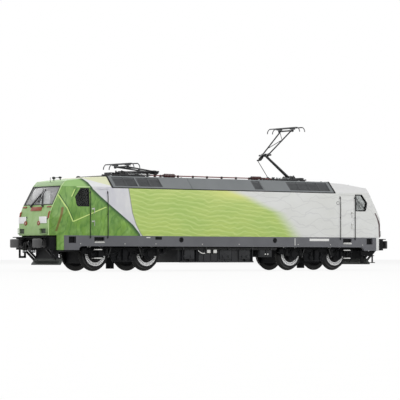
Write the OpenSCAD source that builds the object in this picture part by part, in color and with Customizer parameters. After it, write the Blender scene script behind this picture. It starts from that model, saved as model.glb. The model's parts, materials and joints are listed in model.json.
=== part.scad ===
// Electric locomotive, four axles, two cabs and two single-arm pantographs, as a 1:87 scale model.
// Origin: on the floor, midway between the buffers. +X runs to the rear cab, +Z is up.
// Heights in the modules are above rail head; the wheel flanges reach below it to the floor.

/* [Body shell] */
// Length of the body over the two cab fronts
shell_length = 209.2; // [190:1:230]
// Width of the body over its side walls
body_width = 34.2; // [30:0.2:38]
// Height of the body's lower edge, which is the top of the grey band
shell_foot = 15.9; // [15:0.1:17]
// Height where the side walls end and the roof begins
eaves = 38.7; // [36:0.1:42]
// Height of the flat roof deck between the cabs
deck = 44.8; // [43:0.1:48]
// Thickness of the shell's walls
wall = 1.2; // [0.9:0.1:1.6]
// Length of each cab roof, from the cab front to the grey roof hood
cab_length = 34.6; // [32:0.2:46]
// Length over which each nose tapers in to the cab front
nose_taper = 7.1; // [5.6:0.1:10]

/* [Doors and windows] */
// Distance from each cab front back to the inner edge of its doors
door_setback = 32; // [28:0.2:36]
// Width of a cab door
door_width = 10; // [8:0.2:11]
// Height of the cab side windows
side_window_height = 8; // [6:0.2:9]
// Width of the cab side windows at their foot
side_window_width = 6.6; // [5:0.2:8]
// Width of a windscreen
windscreen_width = 25.2; // [18:0.2:26]
// Clearance between a glass pane and its opening
glass_clearance = 0.05; // [0.03:0.01:0.2]

/* [Grey band and chassis] */
// Height of the grey band's lower edge
band_foot = 10.8; // [10.4:0.1:11.6]
// Height of the band's deeper ends
band_end_foot = 9; // [8:0.1:10]
// Thickness of the band
band_wall = 1.2; // [0.8:0.1:1.6]
// Length of the block that fills the chassis between the bogies
belly_length = 66; // [56:1:68]
// Height of the chassis plate's underside, over the wheels
plate_foot = 17; // [16.6:0.1:18]
// Thickness of the chassis plate
plate_thick = 2; // [1.4:0.1:2.4]
// Length of the die-cast weight
weight_length = 132; // [100:1:138]
// Width of the die-cast weight
weight_width = 26; // [20:1:30]
// Height of the die-cast weight
weight_height = 17; // [10:0.5:18.5]

/* [Bogies] */
// Distance between the two bogie pivots
pivot_distance = 120; // [110:1:126]
// Distance between the two axles of a bogie
wheelbase = 30; // [28:0.5:32]
// Radius of the pivot pin
pivot_radius = 2; // [1.5:0.1:2.6]
// Running clearance of the pins and shafts, on the radius
running_clearance = 0.12; // [0.08:0.01:0.2]
// Width over a bogie's gearbox
gearbox_width = 13.6; // [10:0.2:13.8]
// Width over a bogie's side frames
bogie_width = 26.6; // [25:0.2:27.6]
// Thickness of a side frame
side_frame_thick = 2.2; // [1.6:0.1:2.4]

/* [Wheels] */
// Radius of the wheel tread
tread_radius = 7.2; // [6.6:0.1:7.4]
// Height of the wheel flange
flange_height = 1.1; // [0.8:0.05:1.3]
// Distance between the backs of the two wheels of an axle
back_to_back = 14.4; // [14.2:0.1:14.8]
// Width of a wheel over tread and flange
wheel_width = 2.8; // [2.4:0.1:3]
// Radius of an axle
axle_radius = 1; // [0.75:0.05:1.2]

/* [Buffers and ends] */
// How far the buffer faces stand out from the cab front
buffer_reach = 4; // [3:0.1:6]
// Distance between the two buffers of an end
buffer_spacing = 20.1; // [17:0.1:21]
// Height of the buffers
buffer_height = 12.2; // [11.4:0.1:12.6]
// Width of a buffer head
buffer_head_width = 7.2; // [5:0.1:7.4]
// Height of a buffer head
buffer_head_height = 4.2; // [3:0.1:4.8]
// Width of the snowploughs
plough_width = 23.6; // [18:0.2:24]

/* [Pantographs] */
// Distance from the middle to the pivot of the folded pantograph
front_pivot_x = 53.5; // [50:0.1:54]
// Distance from the middle to the pivot of the raised pantograph
rear_pivot_x = 52; // [50:0.1:54]
// Height of the pivots
arm_pivot_z = 46.9; // [46.6:0.1:48]
// Length of the lower arm
lower_arm = 19.2; // [18:0.1:20]
// Length of the upper arm
upper_arm = 19; // [17:0.1:20]
// Angle of the lower arm when the pantograph is folded
folded_angle = 2.5; // [2.5:0.1:4]
// Angle of the upper arm when the pantograph is folded
folded_upper_angle = 6.35; // [6:0.1:9]
// Angle that the lower arm of the rear pantograph stands raised from folded
raised_by = 33.5; // [0:0.5:46]
// How far the upper arm turns for each degree of the lower arm
arm_ratio = 1.1; // [1.05:0.01:1.15]
// Length of the collector strips between their horns
strip_length = 22; // [18:0.2:24]
// Distance between the two collector strips
strip_spacing = 3.4; // [3:0.1:4]

/* [Hidden] */
$fn = 48;
big = 400;
half_shell = shell_length / 2;
half_width = body_width / 2;
half_hood = half_shell - cab_length;
half_side = half_shell - nose_taper;
half_pivots = pivot_distance / 2;
half_base = wheelbase / 2;
half_buffers = half_shell + buffer_reach;
door_start = half_shell - door_setback;
// Outlines of the body: seen from the side, from above and from the end
rake_foot = [half_shell - 3, 29.8];
rake_head = [half_shell - 8.5, eaves + 1.1];
cab_top = deck - 0.5;
nose_half = [[half_shell, 0], [half_shell, 20.5], rake_foot, rake_head, [half_shell - 10.8, cab_top - 2.4],
    [half_shell - 26, cab_top - 0.3], [half_shell - 33, cab_top]];
plan_half = [[half_side, -half_width], [half_side + 4.4, 1.9 - half_width],
    [half_shell - 0.8, 4.1 - half_width], [half_shell, 9 - half_width], [half_shell, half_width - 9],
    [half_shell - 0.8, half_width - 4.1], [half_side + 4.4, half_width - 1.9], [half_side, half_width]];
// The slanted flats beside the windscreens: a point on each, its turn from ahead and its lean back
corner_point = [rake_foot.x, half_width - 3.8, rake_foot.y];
corner_turn = 60;
corner_lean = 17.6;
// End of the chassis plate, and the inner corner of the shell's foot beside the beam
plate_end = half_side - 10.5;
corner_end = half_side + 3;
// Frames of the rear shunter steps, loops of the front ones, and the recesses in the band's ends
corner_steps = [half_side - 8.7, half_side - 0.3];
step_loops = [half_side + 1.5, half_side + 5.3];
corner_recess = [half_side - 6.4, half_side - 3];
// Recess in the band under each door, and the round socket in the band
door_recess = [door_start + 2, door_start + 7.8];
socket_x = 29.3;
socket_radius = 1.1;
slope_top = [half_width - 5.9, deck];
section_half = [[half_width, 0], [half_width, 33], [half_width - 0.5, eaves], slope_top];
slope_run = [half_width - 0.65 - slope_top.x, deck - eaves - 0.4];
slope_angle = atan2(slope_run.x, slope_run.y);
slope_length = norm(slope_run);
rake_angle = atan2(rake_foot.x - rake_head.x, rake_head.y - rake_foot.y);
windscreen_foot = 30.6;
windscreen_head = 39.2;
side_window_foot = 30;
side_window_start = door_start + door_width + 1;
// Parts that stand on the chassis
plate_top = plate_foot + plate_thick;
block_foot = 10.9;
inner_width = body_width - 2 * wall;
bulkhead = 1.2;
beam_back = half_side - 1;
beam_front = half_shell - 0.4;
beam_top = 14.9;
beam_width = body_width - 4.4;
beam_foot = 9.2;
tread_plate_thick = 0.4;
// Heights of the bogies
gearbox_top = 14;
frame_top = 10.3;
frame_end = half_base + 9.6;
axle_height = tread_radius;
wheel_face = back_to_back / 2 + wheel_width;
flange_radius = tread_radius + flange_height;
// Pantograph parts
frame_low = 45.5;
frame_high = 46;
frame_in = -14.8;
frame_out = 8.6;
frame_half = 4.2;
rod_foot = [-11.5, 46.6];
rod_y = 2.6;
pin = 0.45;
bore = pin + running_clearance;
tail = 4;
rod_length = 11.25;
rod_start_angle = 1.92;
rod_ratio = 1.508;
knuckle_half = 4.8;
head_half = 4.4;

// A list of points mirrored in its first coordinate, which closes a symmetric outline
function mirrored(half) = concat(half, [for (i = [len(half) - 1:-1:0]) [-half[i].x, half[i].y]]);

// A convex outline, anticlockwise, moved inwards by t all round
function inset(p, t) = [for (i = [0:len(p) - 1])
    let (a = p[(i + len(p) - 1) % len(p)], b = p[i], c = p[(i + 1) % len(p)],
        u = (b - a) / norm(b - a), v = (c - b) / norm(c - b), n = [-u.y, u.x], m = [-v.y, v.x])
    b + t * (n + m) / (1 + n * m)];

// Points along an arc
function arc(centre, radius, from, to, steps) =
    [for (i = [0:steps]) let (a = from + (to - from) * i / steps) centre + radius * [cos(a), sin(a)]];

module above_rail() translate([0, 0, flange_height]) children();

module both_ends() for (m = [0, 1]) mirror([m, 0, 0]) children();

module both_sides() for (m = [0, 1]) mirror([0, m, 0]) children();

module corners() both_ends() both_sides() children();

// An outline in X and Z, drawn out from y0 to y1
module across(y0, y1) translate([0, y1, 0]) rotate([90, 0, 0]) linear_extrude(y1 - y0) children();

// An outline in Y and Z, drawn out from x0 to x1
module along(x0, x1) translate([x0, 0, 0]) rotate([90, 0, 90]) linear_extrude(x1 - x0) children();

module block(low, high) translate(low) cube(high - low);

// A round bar between two points
module bar(a, b, r, fn = 16) {
    d = b - a;
    translate(a) rotate([0, acos(d.z / norm(d)), atan2(d.y, d.x)]) cylinder(r = r, h = norm(d), $fn = fn);
}

// The body's whole form, its skin moved inwards by t
module body_form(t) difference() {
    intersection() {
        across(-big / 2, big / 2) polygon(inset(mirrored(nose_half), t));
        linear_extrude(big) polygon(inset(mirrored(plan_half), t));
        along(-big / 2, big / 2) polygon(inset(mirrored(section_half), t));
    }
    corners() translate(corner_point) rotate([0, -corner_lean, corner_turn])
        block([-t, -big, -big], [big, big, big]);
}

// Outlines of the glass, as seen from the end and from the side, less a clearance g
module windscreen_outline(g) polygon(mirrored([[windscreen_width / 2 - g, windscreen_foot + g],
    [windscreen_width / 2 - 0.6 - g, windscreen_head - g]]));

module side_window_outline(g) translate([side_window_start, side_window_foot]) polygon([[g, g],
    [side_window_width - 0.6, g], [side_window_width - g, 0.8], [side_window_width + 0.7 - g, 4],
    [side_window_width - 2.4 - g, side_window_height - g], [g, side_window_height - g]]);

// The four headlight pockets' outline at one end, less a clearance g
module headlight_outline(g) for (s = [-1, 1])
    translate([s * 9.1, 23.2]) square([6.2 - 2 * g, 3.3 - 2 * g], center = true);

module body_shell() color("yellowgreen") above_rail() difference() {
    body_form(0);
    difference() {
        body_form(wall);
        corners() block([half_hood, -1, plate_top], [half_hood + bulkhead, half_width, deck]);
        both_ends() block([half_shell - 4.1, -half_width, shell_foot], [half_shell, half_width, 28.5]);
    }
    block([-half_side, -big / 2, -1], [half_side, big / 2, shell_foot]);
    both_ends() block([half_side - 1, -beam_width / 2 - 0.1, -1],
        [half_shell + 1, beam_width / 2 + 0.1, shell_foot]);
    both_ends() block([corner_end, -big / 2, -1], [half_shell + 1, big / 2, shell_foot]);
    block([-big / 2, -big / 2, -1], [big / 2, big / 2, band_end_foot]);
    block([-half_hood, -big / 2, eaves], [half_hood, big / 2, big / 2]);
    both_ends() along(half_shell - 16, half_shell + 1) windscreen_outline(0);
    both_ends() along(half_shell - 4, half_shell + 1) headlight_outline(0);
    both_ends() for (s = [-1, 1])
        block([half_shell - 1.4, s * 9.65 - 2.85, 16.7], [half_shell + 1, s * 9.65 + 2.85, 19.2]);
    both_ends() across(-half_width - 1, half_width + 1) side_window_outline(0);
    corners() door_grooves();
}

module door_grooves() {
    depth = 0.15;
    line = 0.25;
    for (x = [door_start, door_start + door_width])
        block([x, half_width - depth, shell_foot - 1], [x + line, half_width + 1, 37.8]);
    block([door_start, half_width - 0.5 - depth, 37.8],
        [door_start + door_width + line, half_width + 1, 37.8 + line]);
}

// Lays its children on the hood's slanted flank: X along, Y outwards, Z up the slope from the eaves
module on_slope() translate([0, half_width - 0.65, eaves + 0.4]) rotate([slope_angle, 0, 0]) children();

hood_wall = 1;
hood_end = 1.2;
hood_lip = 0.4;
grille_depth = 0.4;
grille_low = 0.9;
grille_high = 0.8;
// Start and end of each grille along the hood, and the seams between its panels
grilles = [[2.6 - half_hood, 16 - half_hood], [16.6 - half_hood, 30.6 - half_hood], [17.6, 23.1],
    [half_hood - 29.6, half_hood - 2.6]];
hood_seams = [-22, 23.4];

function hood_outline(foot) =
    mirrored([[half_width - 0.65, foot], [half_width - 0.65, eaves + hood_lip], slope_top]);

module roof_hood() color("gray") above_rail() difference() {
    along(-half_hood, half_hood) polygon(hood_outline(eaves));
    along(-half_hood + hood_end, half_hood - hood_end) polygon(inset(hood_outline(eaves - 2), hood_wall));
    both_sides() for (span = grilles) on_slope()
        block([span[0], -grille_depth, grille_low], [span[1], 1, slope_length - grille_high]);
    both_sides() block([-half_hood - 1, half_width - 0.9, eaves - 1],
        [half_hood + 1, half_width, eaves + hood_lip]);
    for (x = hood_seams) both_sides() on_slope() block([x, -0.15, -1], [x + 0.2, 1, slope_length + 1]);
}

module roof_grilles() color("dimgray") above_rail() both_sides() for (span = grilles) on_slope()
    block([span[0] + 0.05, -grille_depth, grille_low + 0.05],
        [span[1] - 0.05, -0.1, slope_length - grille_high - 0.05]);

// Outline of one band, seen from the side: its ends hang deeper, behind quarter-round arches
arch_radius = band_foot - band_end_foot;
arch_x = half_side - 10.3;
module band_outline() polygon(concat([[-half_side, shell_foot], [-half_side, band_end_foot]],
    arc([-arch_x, band_end_foot], arch_radius, 180, 90, 8),
        arc([arch_x, band_end_foot], arch_radius, 90, 0, 8),
    [[half_side, band_end_foot], [half_side, shell_foot]]));

step_recess_depth = 0.9;
module grey_bands() color("slategray") above_rail() both_sides() difference() {
    across(half_width - band_wall, half_width) band_outline();
    both_ends() block([door_recess[0], half_width - step_recess_depth, 12.4],
        [door_recess[1], half_width + 1, 15.2]);
    both_ends() block([corner_recess[0], half_width - step_recess_depth, 12.6],
        [corner_recess[1], half_width + 1, 15.1]);
    both_ends() translate([socket_x, half_width + 1, 14.1]) rotate([90, 0, 0])
        cylinder(r = socket_radius, h = 1 + step_recess_depth);
    both_ends() for (x = [door_start, door_start + door_width])
        block([x, half_width - 0.15, 14.2], [x + 0.25, half_width + 1, shell_foot + 1]);
}

module band_steps() color("silver") above_rail() corners()
    block([door_recess[0] + 0.05, half_width - step_recess_depth, 12.4],
        [door_recess[1] - 0.05, half_width + 0.25, 12.9]);

module chassis() color("black") above_rail() difference() {
    union() {
        block([-plate_end, 0.3 - inner_width / 2, plate_foot],
            [plate_end, inner_width / 2 - 0.3, plate_top]);
        block([-belly_length / 2, -inner_width / 2, band_foot],
            [belly_length / 2, inner_width / 2, plate_foot]);
        both_ends() block([plate_end, 0.3 - inner_width / 2, block_foot],
            [beam_back, inner_width / 2 - 0.3, plate_top]);
        both_ends() translate([half_pivots, 0, gearbox_top + 0.2])
            cylinder(r = 4.6, h = plate_foot - gearbox_top);
    }
    both_ends() translate([half_pivots, 0, 0]) cylinder(r = pivot_radius + running_clearance, h = big);
}

module die_cast_weight() color("darkgray") above_rail()
    block([-weight_length / 2, -weight_width / 2, plate_top],
        [weight_length / 2, weight_width / 2, plate_top + weight_height]);

module buffer_beams() color("black") above_rail() both_ends() difference() {
    block([beam_back, -beam_width / 2, beam_foot], [beam_front, beam_width / 2, beam_top]);
    block([beam_front - 1.2, -5.6, 10.4], [beam_front + 1, 5.6, 13.8]);
    both_sides() block([beam_front - 0.4, buffer_spacing / 2 - 2.75, 10.2],
        [beam_front + 1, buffer_spacing / 2 + 2.25, 14.2]);
}

module tread_plates() color("black") above_rail() both_ends()
    block([half_side + 1, -beam_width / 2, beam_top],
        [half_shell + 1.6, beam_width / 2, beam_top + tread_plate_thick]);

module buffers() color("dimgray") above_rail() both_ends() both_sides()
    translate([0, buffer_spacing / 2, buffer_height]) {
        block([half_buffers - 1.3, -buffer_head_width / 2, -buffer_head_height / 2],
            [half_buffers, buffer_head_width / 2, buffer_head_height / 2]);
        rotate([0, 90, 0]) translate([0, 0, beam_front - 0.4])
            cylinder(r = 1.2, h = half_buffers - beam_front - 0.5);
        rotate([0, 90, 0]) translate([0, 0, beam_front - 0.4]) cylinder(r = 1.8, h = 1.9);
    }

module drawhooks() color("darkslategray") above_rail() both_ends()
    translate([beam_front - 1.2, 0, buffer_height]) {
    block([0, -1.6, -1.3], [0.5, 1.6, 1.3]);
    across(-0.4, 0.4) difference() {
        polygon(concat([[0.5, -0.6], [2, -0.6]], arc([2.6, 0], 1.3, -120, 100, 10),
            [[2.2, 1.1], [2, 0.6], [0.5, 0.6]]));
        translate([2.6, 0.35]) circle(0.45, $fn = 24);
    }
}

hose_radius = 0.4;
hose_bend = 1.9;
module brake_hose() {
    translate([beam_front - 1.2, 0, 12.9]) rotate([0, 90, 0]) cylinder(r = hose_radius, h = 1.3);
    translate([beam_front + 0.1, 0, 12.9 - hose_bend]) rotate([90, 0, 0])
        rotate_extrude(angle = 90) translate([hose_bend, 0]) circle(hose_radius, $fn = 16);
    translate([beam_front + 0.1 + hose_bend, 0, 8.4]) cylinder(r = hose_radius, h = 4.5 - hose_bend);
    translate([beam_front + 0.1 + hose_bend, 0, 7.7]) cylinder(r = hose_radius + 0.15, h = 0.7);
}

module brake_hoses() color("black") above_rail() both_ends() both_sides() for (y = [2.9, 4.7])
    translate([0, y, 0]) brake_hose();

plough_x = half_side - 2.3;
plough_top = 5;
plough_foot = 1.9;
plough_outline = [[0, plough_top], [0, 3.2], [0.8, plough_foot], [2.4, plough_foot], [2.4, 2.5], [1.3, 3.7],
    [1.5, plough_top]];
stay_head = [half_side + 3.4, half_side + 4.6];
stay_width = 0.8;
module snowploughs() color("darkslategray") above_rail() both_ends() {
    across(-plough_width / 2, plough_width / 2) translate([plough_x, 0]) polygon(plough_outline);
    block([plough_x, -7.8, plough_top - 0.6], [half_side, 7.8, beam_foot]);
    both_sides() for (y = [plough_width / 2, plough_width / 2 - 3.2]) across(y - stay_width, y)
        polygon([[plough_x, plough_top - 1], [plough_x + 1.4, plough_top - 1], [stay_head[1], beam_foot],
            [stay_head[0], beam_foot]]);
}

module shunter_steps() color("black") above_rail() both_sides() {
    y0 = beam_width / 2 - 0.7;
    leg = 0.6;
    block([corner_steps[0], y0, 2.6], [corner_steps[0] + 1.8, y0 + leg, block_foot]);
    block([corner_steps[1] - leg, y0, 2.6], [corner_steps[1], y0 + leg, beam_foot]);
    block([corner_steps[0], y0, 6.2], [corner_steps[1], y0 + leg, 8.8]);
    block([corner_steps[0], y0, 2.6], [corner_steps[1], y0 + 2.2, 3]);
    block([corner_steps[0], y0, 6.2], [corner_steps[1], y0 + 1.6, 6.6]);
    mirror([1, 0, 0]) difference() {
        block([step_loops[0], y0, 5.2], [step_loops[1], y0 + leg, beam_foot]);
        block([step_loops[0] + 0.9, y0 - 1, 6.2], [step_loops[1] - 0.8, y0 + 1, beam_foot + 1]);
    }
}

// Stretches between two depths below the skin, cut to the children's outline as seen along X
module in_skin(outer, inner, x0) both_ends() intersection() {
    difference() {
        body_form(outer);
        body_form(inner);
    }
    along(x0, half_shell + 1) children();
}

module windscreens() color("darkslateblue") above_rail() in_skin(0.05, 0.85, half_shell - 14)
    windscreen_outline(glass_clearance);

module side_windows() color("black") above_rail() both_sides() both_ends()
    across(half_width - wall + 0.05, half_width - 0.55) side_window_outline(glass_clearance);

module headlights() color("white") above_rail() in_skin(0.1, 1.1, half_shell - 4)
    headlight_outline(glass_clearance);

// Lays its children on the windscreen: X outwards, Z up the rake from the foot of the rake
module on_screen() translate([rake_foot.x, 0, rake_foot.y]) rotate([0, -rake_angle, 0]) children();

module wipers() color("black") above_rail() both_ends() for (s = [-1, 1]) on_screen() {
    translate([0, s * 5.4, -0.2]) rotate([0, 90, 0]) cylinder(r = 0.45, h = 0.7);
    bar([0.5, s * 5.4, -0.2], [0.5, s * 0.9, 6.4], 0.18);
    bar([0.35, s * 0.7, 2.2], [0.35, s * 1.1, 9.4], 0.16);
}

module door_handrails() color("black") above_rail() corners()
    for (x = [door_start + 0.12, door_start + door_width + 0.12]) difference() {
        union() {
            translate([x, half_width + 0.4, 14.6]) cylinder(r = 0.22, h = 22.8, $fn = 16);
            block([x - 0.25, half_width - 0.15, 14.5], [x + 0.25, half_width + 0.6, 15]);
            block([x - 0.25, half_width - 0.5, 37], [x + 0.25, half_width + 0.6, 37.5]);
        }
        body_form(0);
    }

module cab_interiors() color("dimgray") above_rail() both_ends() {
    block([half_hood + bulkhead, -12.5, plate_top], [plate_end, 12.5, plate_top + 1]);
    block([plate_end, -12.5, plate_top], [half_side + 2, 12.5, plate_top + 1]);
    block([half_side - 4, -12, plate_top + 1], [half_side + 1.6, 12, 27.5]);
    both_sides() translate([door_start + door_width, 0, 0]) {
        block([0.8, 3, plate_top + 1], [4.8, 7.4, 25]);
        block([-0.2, 3, plate_top + 1], [0.8, 7.4, 31.5]);
    }
}

tank_span = [-28.7, 17.9];
box_span = [21, 29.5];
module transformer_tank() color("black") above_rail() difference() {
    block([tank_span[0], -14.2, 3.2], [tank_span[1], 14.2, band_foot]);
    both_sides() {
        block([tank_span[0] - 1, 13.2, 2], [tank_span[0] + 12, 15, 9.8]);
        block([tank_span[1] - 7, 13.4, 2], [tank_span[1] + 1, 15, 9.6]);
        block([-12, 13.8, 7.2], [4, 15, 7.6]);
    }
}

module equipment_box() color("gray") above_rail()
    block([box_span[0], -14.2, 5.7], [box_span[1], 14.2, band_foot]);

horn_span = [half_shell - 16.4, half_shell - 12.4];
aerial_x = half_shell - 26.2;
module roof_horns() color("black") above_rail() both_ends() difference() {
    union() {
        block([horn_span[0], -1.4, 41.5], [horn_span[1], 1.4, 43.9]);
        translate([aerial_x, 0, cab_top - 1]) cylinder(r = 1.1, h = 1.5);
    }
    body_form(0);
}

busbar_y = -4;
busbar_z = 45.9;
insulator_span = [24.2, 30.6];
support_x = [-21.9, -12.7, -3.9, 5.3, 14.4, 22.9];
// The last supports, just clear of the pantographs' bases
base_inner = min(front_pivot_x, rear_pivot_x) + frame_in;
module roof_busbar() color("firebrick") above_rail() translate([0, busbar_y, busbar_z]) rotate([0, 90, 0]) {
    translate([0, 0, -insulator_span[0]]) cylinder(r = 0.28, h = 2 * insulator_span[0]);
    translate([0, 0, insulator_span[1]]) cylinder(r = 0.28, h = rear_pivot_x + frame_in - insulator_span[1]);
    translate([0, 0, -front_pivot_x - frame_in])
        cylinder(r = 0.28, h = front_pivot_x + frame_in - insulator_span[1]);
}

module ribbed(h, r, n) for (i = [0:n - 1]) {
    translate([0, 0, i * h / n]) cylinder(r = r, h = 0.55 * h / n);
    translate([0, 0, i * h / n]) cylinder(r = 0.7 * r, h = h / n);
}

module roof_insulators() color("saddlebrown") above_rail() {
    both_ends() translate([insulator_span[0], busbar_y, busbar_z]) rotate([0, 90, 0])
        ribbed(insulator_span[1] - insulator_span[0], 1.1, 6);
    for (x = support_x) translate([x, busbar_y, deck])
        cylinder(r = 0.65, h = busbar_z - deck - 0.28);
    both_ends() for (x = [base_inner - 4.6, base_inner - 1.2]) translate([x, busbar_y, deck])
        cylinder(r = 0.85, h = busbar_z - deck - 0.28);
}

// The base of a pantograph, drawn for the rear one about its pivot
module pantograph_base() {
    for (x = [frame_in, frame_in + 6, -4.4, frame_out - 0.8])
        block([x, -frame_half, frame_low], [x + 0.8, frame_half, frame_high]);
    both_sides() block([frame_in, frame_half - 0.8, frame_low], [frame_out, frame_half, frame_high]);
    for (x = [frame_in + 4, frame_out - 1.6]) both_sides() translate([x, frame_half - 0.4, deck])
        cylinder(r = 0.9, h = frame_low - deck);
    both_sides() {
        across(1.4, 2) polygon([[-1.6, frame_high], [-0.9, arm_pivot_z + 0.3], [0, arm_pivot_z + 1],
            [0.9, arm_pivot_z + 0.3], [1.8, frame_high]]);
        block([-1.6, 1.4, frame_high - 0.1], [1.8, frame_half, frame_high]);
    }
    translate([0, 2, arm_pivot_z]) rotate([90, 0, 0]) cylinder(r = pin, h = 4);
    for (y = [-2.5, 2.5]) translate([1.3, y, frame_high - 0.05]) cylinder(r = 0.35, h = 2.1);
    block([frame_out - 3, -2.6, frame_high], [frame_out - 0.5, 2.6, frame_high + 0.9]);
    translate([rod_foot.x, 3.6, rod_foot.y]) rotate([90, 0, 0]) cylinder(r = 0.25, h = 1.4);
    block([rod_foot.x - 0.35, 3.4, frame_high - 0.1], [rod_foot.x + 0.35, 4, rod_foot.y + 0.35]);
}

// Places a piece that is drawn about the rear pantograph's pivot
module at_rear() translate([rear_pivot_x, 0, 0]) children();
module at_front() mirror([1, 0, 0]) translate([front_pivot_x, 0, 0]) children();

module pantograph_bases() color("black") above_rail() {
    at_rear() pantograph_base();
    at_front() pantograph_base();
}

// Places of the hinges when the lower arm stands lifted by q from folded
function lower_angle(q) = folded_angle + q;
function upper_angle(q) = folded_upper_angle + arm_ratio * q;
function knuckle(q) = [-lower_arm * cos(lower_angle(q)), arm_pivot_z + lower_arm * sin(lower_angle(q))];
function head_pin(q) = knuckle(q) + upper_arm * [cos(upper_angle(q)), sin(upper_angle(q))];
function rod_angle(q) = rod_start_angle + rod_ratio * q;

module at_point(p) translate([p.x, 0, p.y]) children();

module hub(r, y0, y1) translate([0, y1, 0]) rotate([90, 0, 0]) cylinder(r = r, h = y1 - y0);

// The lower arm, drawn along +X from its pivot
module lower_arm_piece() difference() {
    union() {
        hub(0.95, -1.1, 1.1);
        translate([lower_arm, 0, 0]) hub(0.85, -0.9, 0.9);
        rotate([0, 90, 0]) translate([0, 0, 0.5]) cylinder(r1 = 0.8, r2 = 0.6, h = lower_arm - 1);
    }
    hub(bore, -3, 3);
    translate([lower_arm, 0, 0]) hub(bore, -3, 3);
}

// The upper arm, drawn along +X from the knuckle
module upper_arm_piece() {
    hub(pin, -knuckle_half, knuckle_half);
    translate([upper_arm, 0, 0]) hub(0.4, -head_half - 1.6, head_half + 1.6);
    both_sides() bar([0, 2.5, 0], [upper_arm, head_half, 0], 0.36);
    bar([upper_arm * 0.3, 2.5, 0], [upper_arm * 0.62, -3.3, 0], 0.18);
    bar([upper_arm * 0.94, 3.8, 0], [upper_arm * 0.62, -3.3, 0], 0.18);
    both_sides() block([-1.2, 2.1, -0.6], [0.8, 2.9, 0.6]);
    across(1.3, 1.8) polygon([[-0.9, -0.7], [-tail, -0.4], [-tail - 0.5, 0], [-tail, 0.4], [-0.9, 0.7],
        [0.5, 0.5], [0.5, -0.5]]);
    block([-0.6, 1.3, -0.3], [0.3, 2.2, 0.3]);
}

// The collector head, level, about its own pin
module collector_head_piece() {
    lift = 1.1;
    for (s = [-1, 1]) translate([s * strip_spacing / 2, 0, 0]) {
        block([-0.5, -strip_length / 2, lift], [0.5, strip_length / 2, lift + 0.5]);
        both_sides() translate([0, strip_length / 2 - 0.1, lift + 0.25 - 2.4]) rotate([90, 0, 90])
            rotate_extrude(angle = 90) translate([2.4, 0]) circle(0.24, $fn = 16);
    }
    both_sides() difference() {
        union() {
            hub(0.75, head_half + 0.7, head_half + 1.2);
            block([-strip_spacing / 2, head_half + 0.7, lift - 0.6],
                [strip_spacing / 2, head_half + 1.2, lift]);
            block([-0.4, head_half + 0.7, 0], [0.4, head_half + 1.2, lift]);
        }
        hub(0.4 + running_clearance, 0, 10);
    }
}

// The guide rod, drawn along +X from its foot
module guide_rod_piece() {
    difference() {
        hub(0.5, rod_y - 0.3, rod_y + 0.3);
        hub(0.25 + running_clearance, 0, 10);
    }
    bar([0.42, rod_y, 0], [rod_length - 0.2, rod_y, 0], 0.18);
    translate([rod_length, 0, 0]) hub(0.4, rod_y - 0.25, rod_y + 0.25);
}

// An arm that lies inwards from its hinge, lifted by its angle
module lifted_inwards(angle) mirror([1, 0, 0]) rotate([0, -angle, 0]) children();
module lifted_outwards(angle) rotate([0, -angle, 0]) children();

module lower_arm_at(q) at_point([0, arm_pivot_z]) lifted_inwards(lower_angle(q)) lower_arm_piece();
module guide_rod_at(q) at_point(rod_foot) lifted_inwards(rod_angle(q)) guide_rod_piece();
module upper_arm_at(q) at_point(knuckle(q)) lifted_outwards(upper_angle(q)) upper_arm_piece();
module collector_head_at(q) at_point(head_pin(q)) collector_head_piece();

module lower_arm_front() color("black") above_rail() at_front() lower_arm_at(0);
module lower_arm_rear() color("black") above_rail() at_rear() lower_arm_at(raised_by);
module guide_rod_front() color("gray") above_rail() at_front() guide_rod_at(0);
module guide_rod_rear() color("gray") above_rail() at_rear() guide_rod_at(raised_by);
module upper_arm_front() color("black") above_rail() at_front() upper_arm_at(0);
module upper_arm_rear() color("black") above_rail() at_rear() upper_arm_at(raised_by);
module collector_head_front() color("dimgray") above_rail() at_front() collector_head_at(0);
module collector_head_rear() color("dimgray") above_rail() at_rear() collector_head_at(raised_by);

module at_pivot(end) translate([end * half_pivots, 0, 0]) children();

// Outline of a side frame about the bogie's middle, its lower edge raised over the wheels
module side_frame_outline() {
    polygon([[-frame_end, 8], [-frame_end, frame_top], [frame_end, frame_top], [frame_end, 8],
        [frame_end - 2.6, 7],
        [8, 7], [6.5, 3.6], [-6.5, 3.6], [-8, 7], [2.6 - frame_end, 7]]);
    for (x = [-half_base, half_base]) translate([x, axle_height]) circle(3.2);
}

module bogie_frame(end) above_rail() at_pivot(end) {
    both_sides() difference() {
        across(bogie_width / 2 - side_frame_thick, bogie_width / 2) side_frame_outline();
        for (x = [-half_base, half_base]) translate([x, wheel_face, axle_height]) rotate([-90, 0, 0])
            cylinder(r = axle_radius + running_clearance, h = bogie_width / 2 - wheel_face - 0.6);
    }
    both_ends() block([frame_end - 0.6, -bogie_width / 2, 8.2], [frame_end, bogie_width / 2, frame_top]);
    both_sides() block([-5, gearbox_width / 2, 6], [5, bogie_width / 2 - side_frame_thick, 9.4]);
    translate([-end * frame_end, 0, 0]) both_sides()
        block([-0.7, bogie_width / 2 - 1.8, 2.2], [0.7, bogie_width / 2, 8.2]);
}

module bogie_frame_front() color("black") bogie_frame(-1);
module bogie_frame_rear() color("black") bogie_frame(1);

module gearbox(end) above_rail() at_pivot(end) difference() {
    union() {
        block([-half_base - 6, -gearbox_width / 2, 2.6], [half_base + 6, gearbox_width / 2, gearbox_top]);
        cylinder(r = pivot_radius, h = plate_top - 0.2);
    }
    for (x = [-half_base, half_base]) translate([x, 0, axle_height])
        hub(axle_radius + running_clearance, -10, 10);
}

module gearbox_front() color("dimgray") gearbox(-1);
module gearbox_rear() color("dimgray") gearbox(1);

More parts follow.
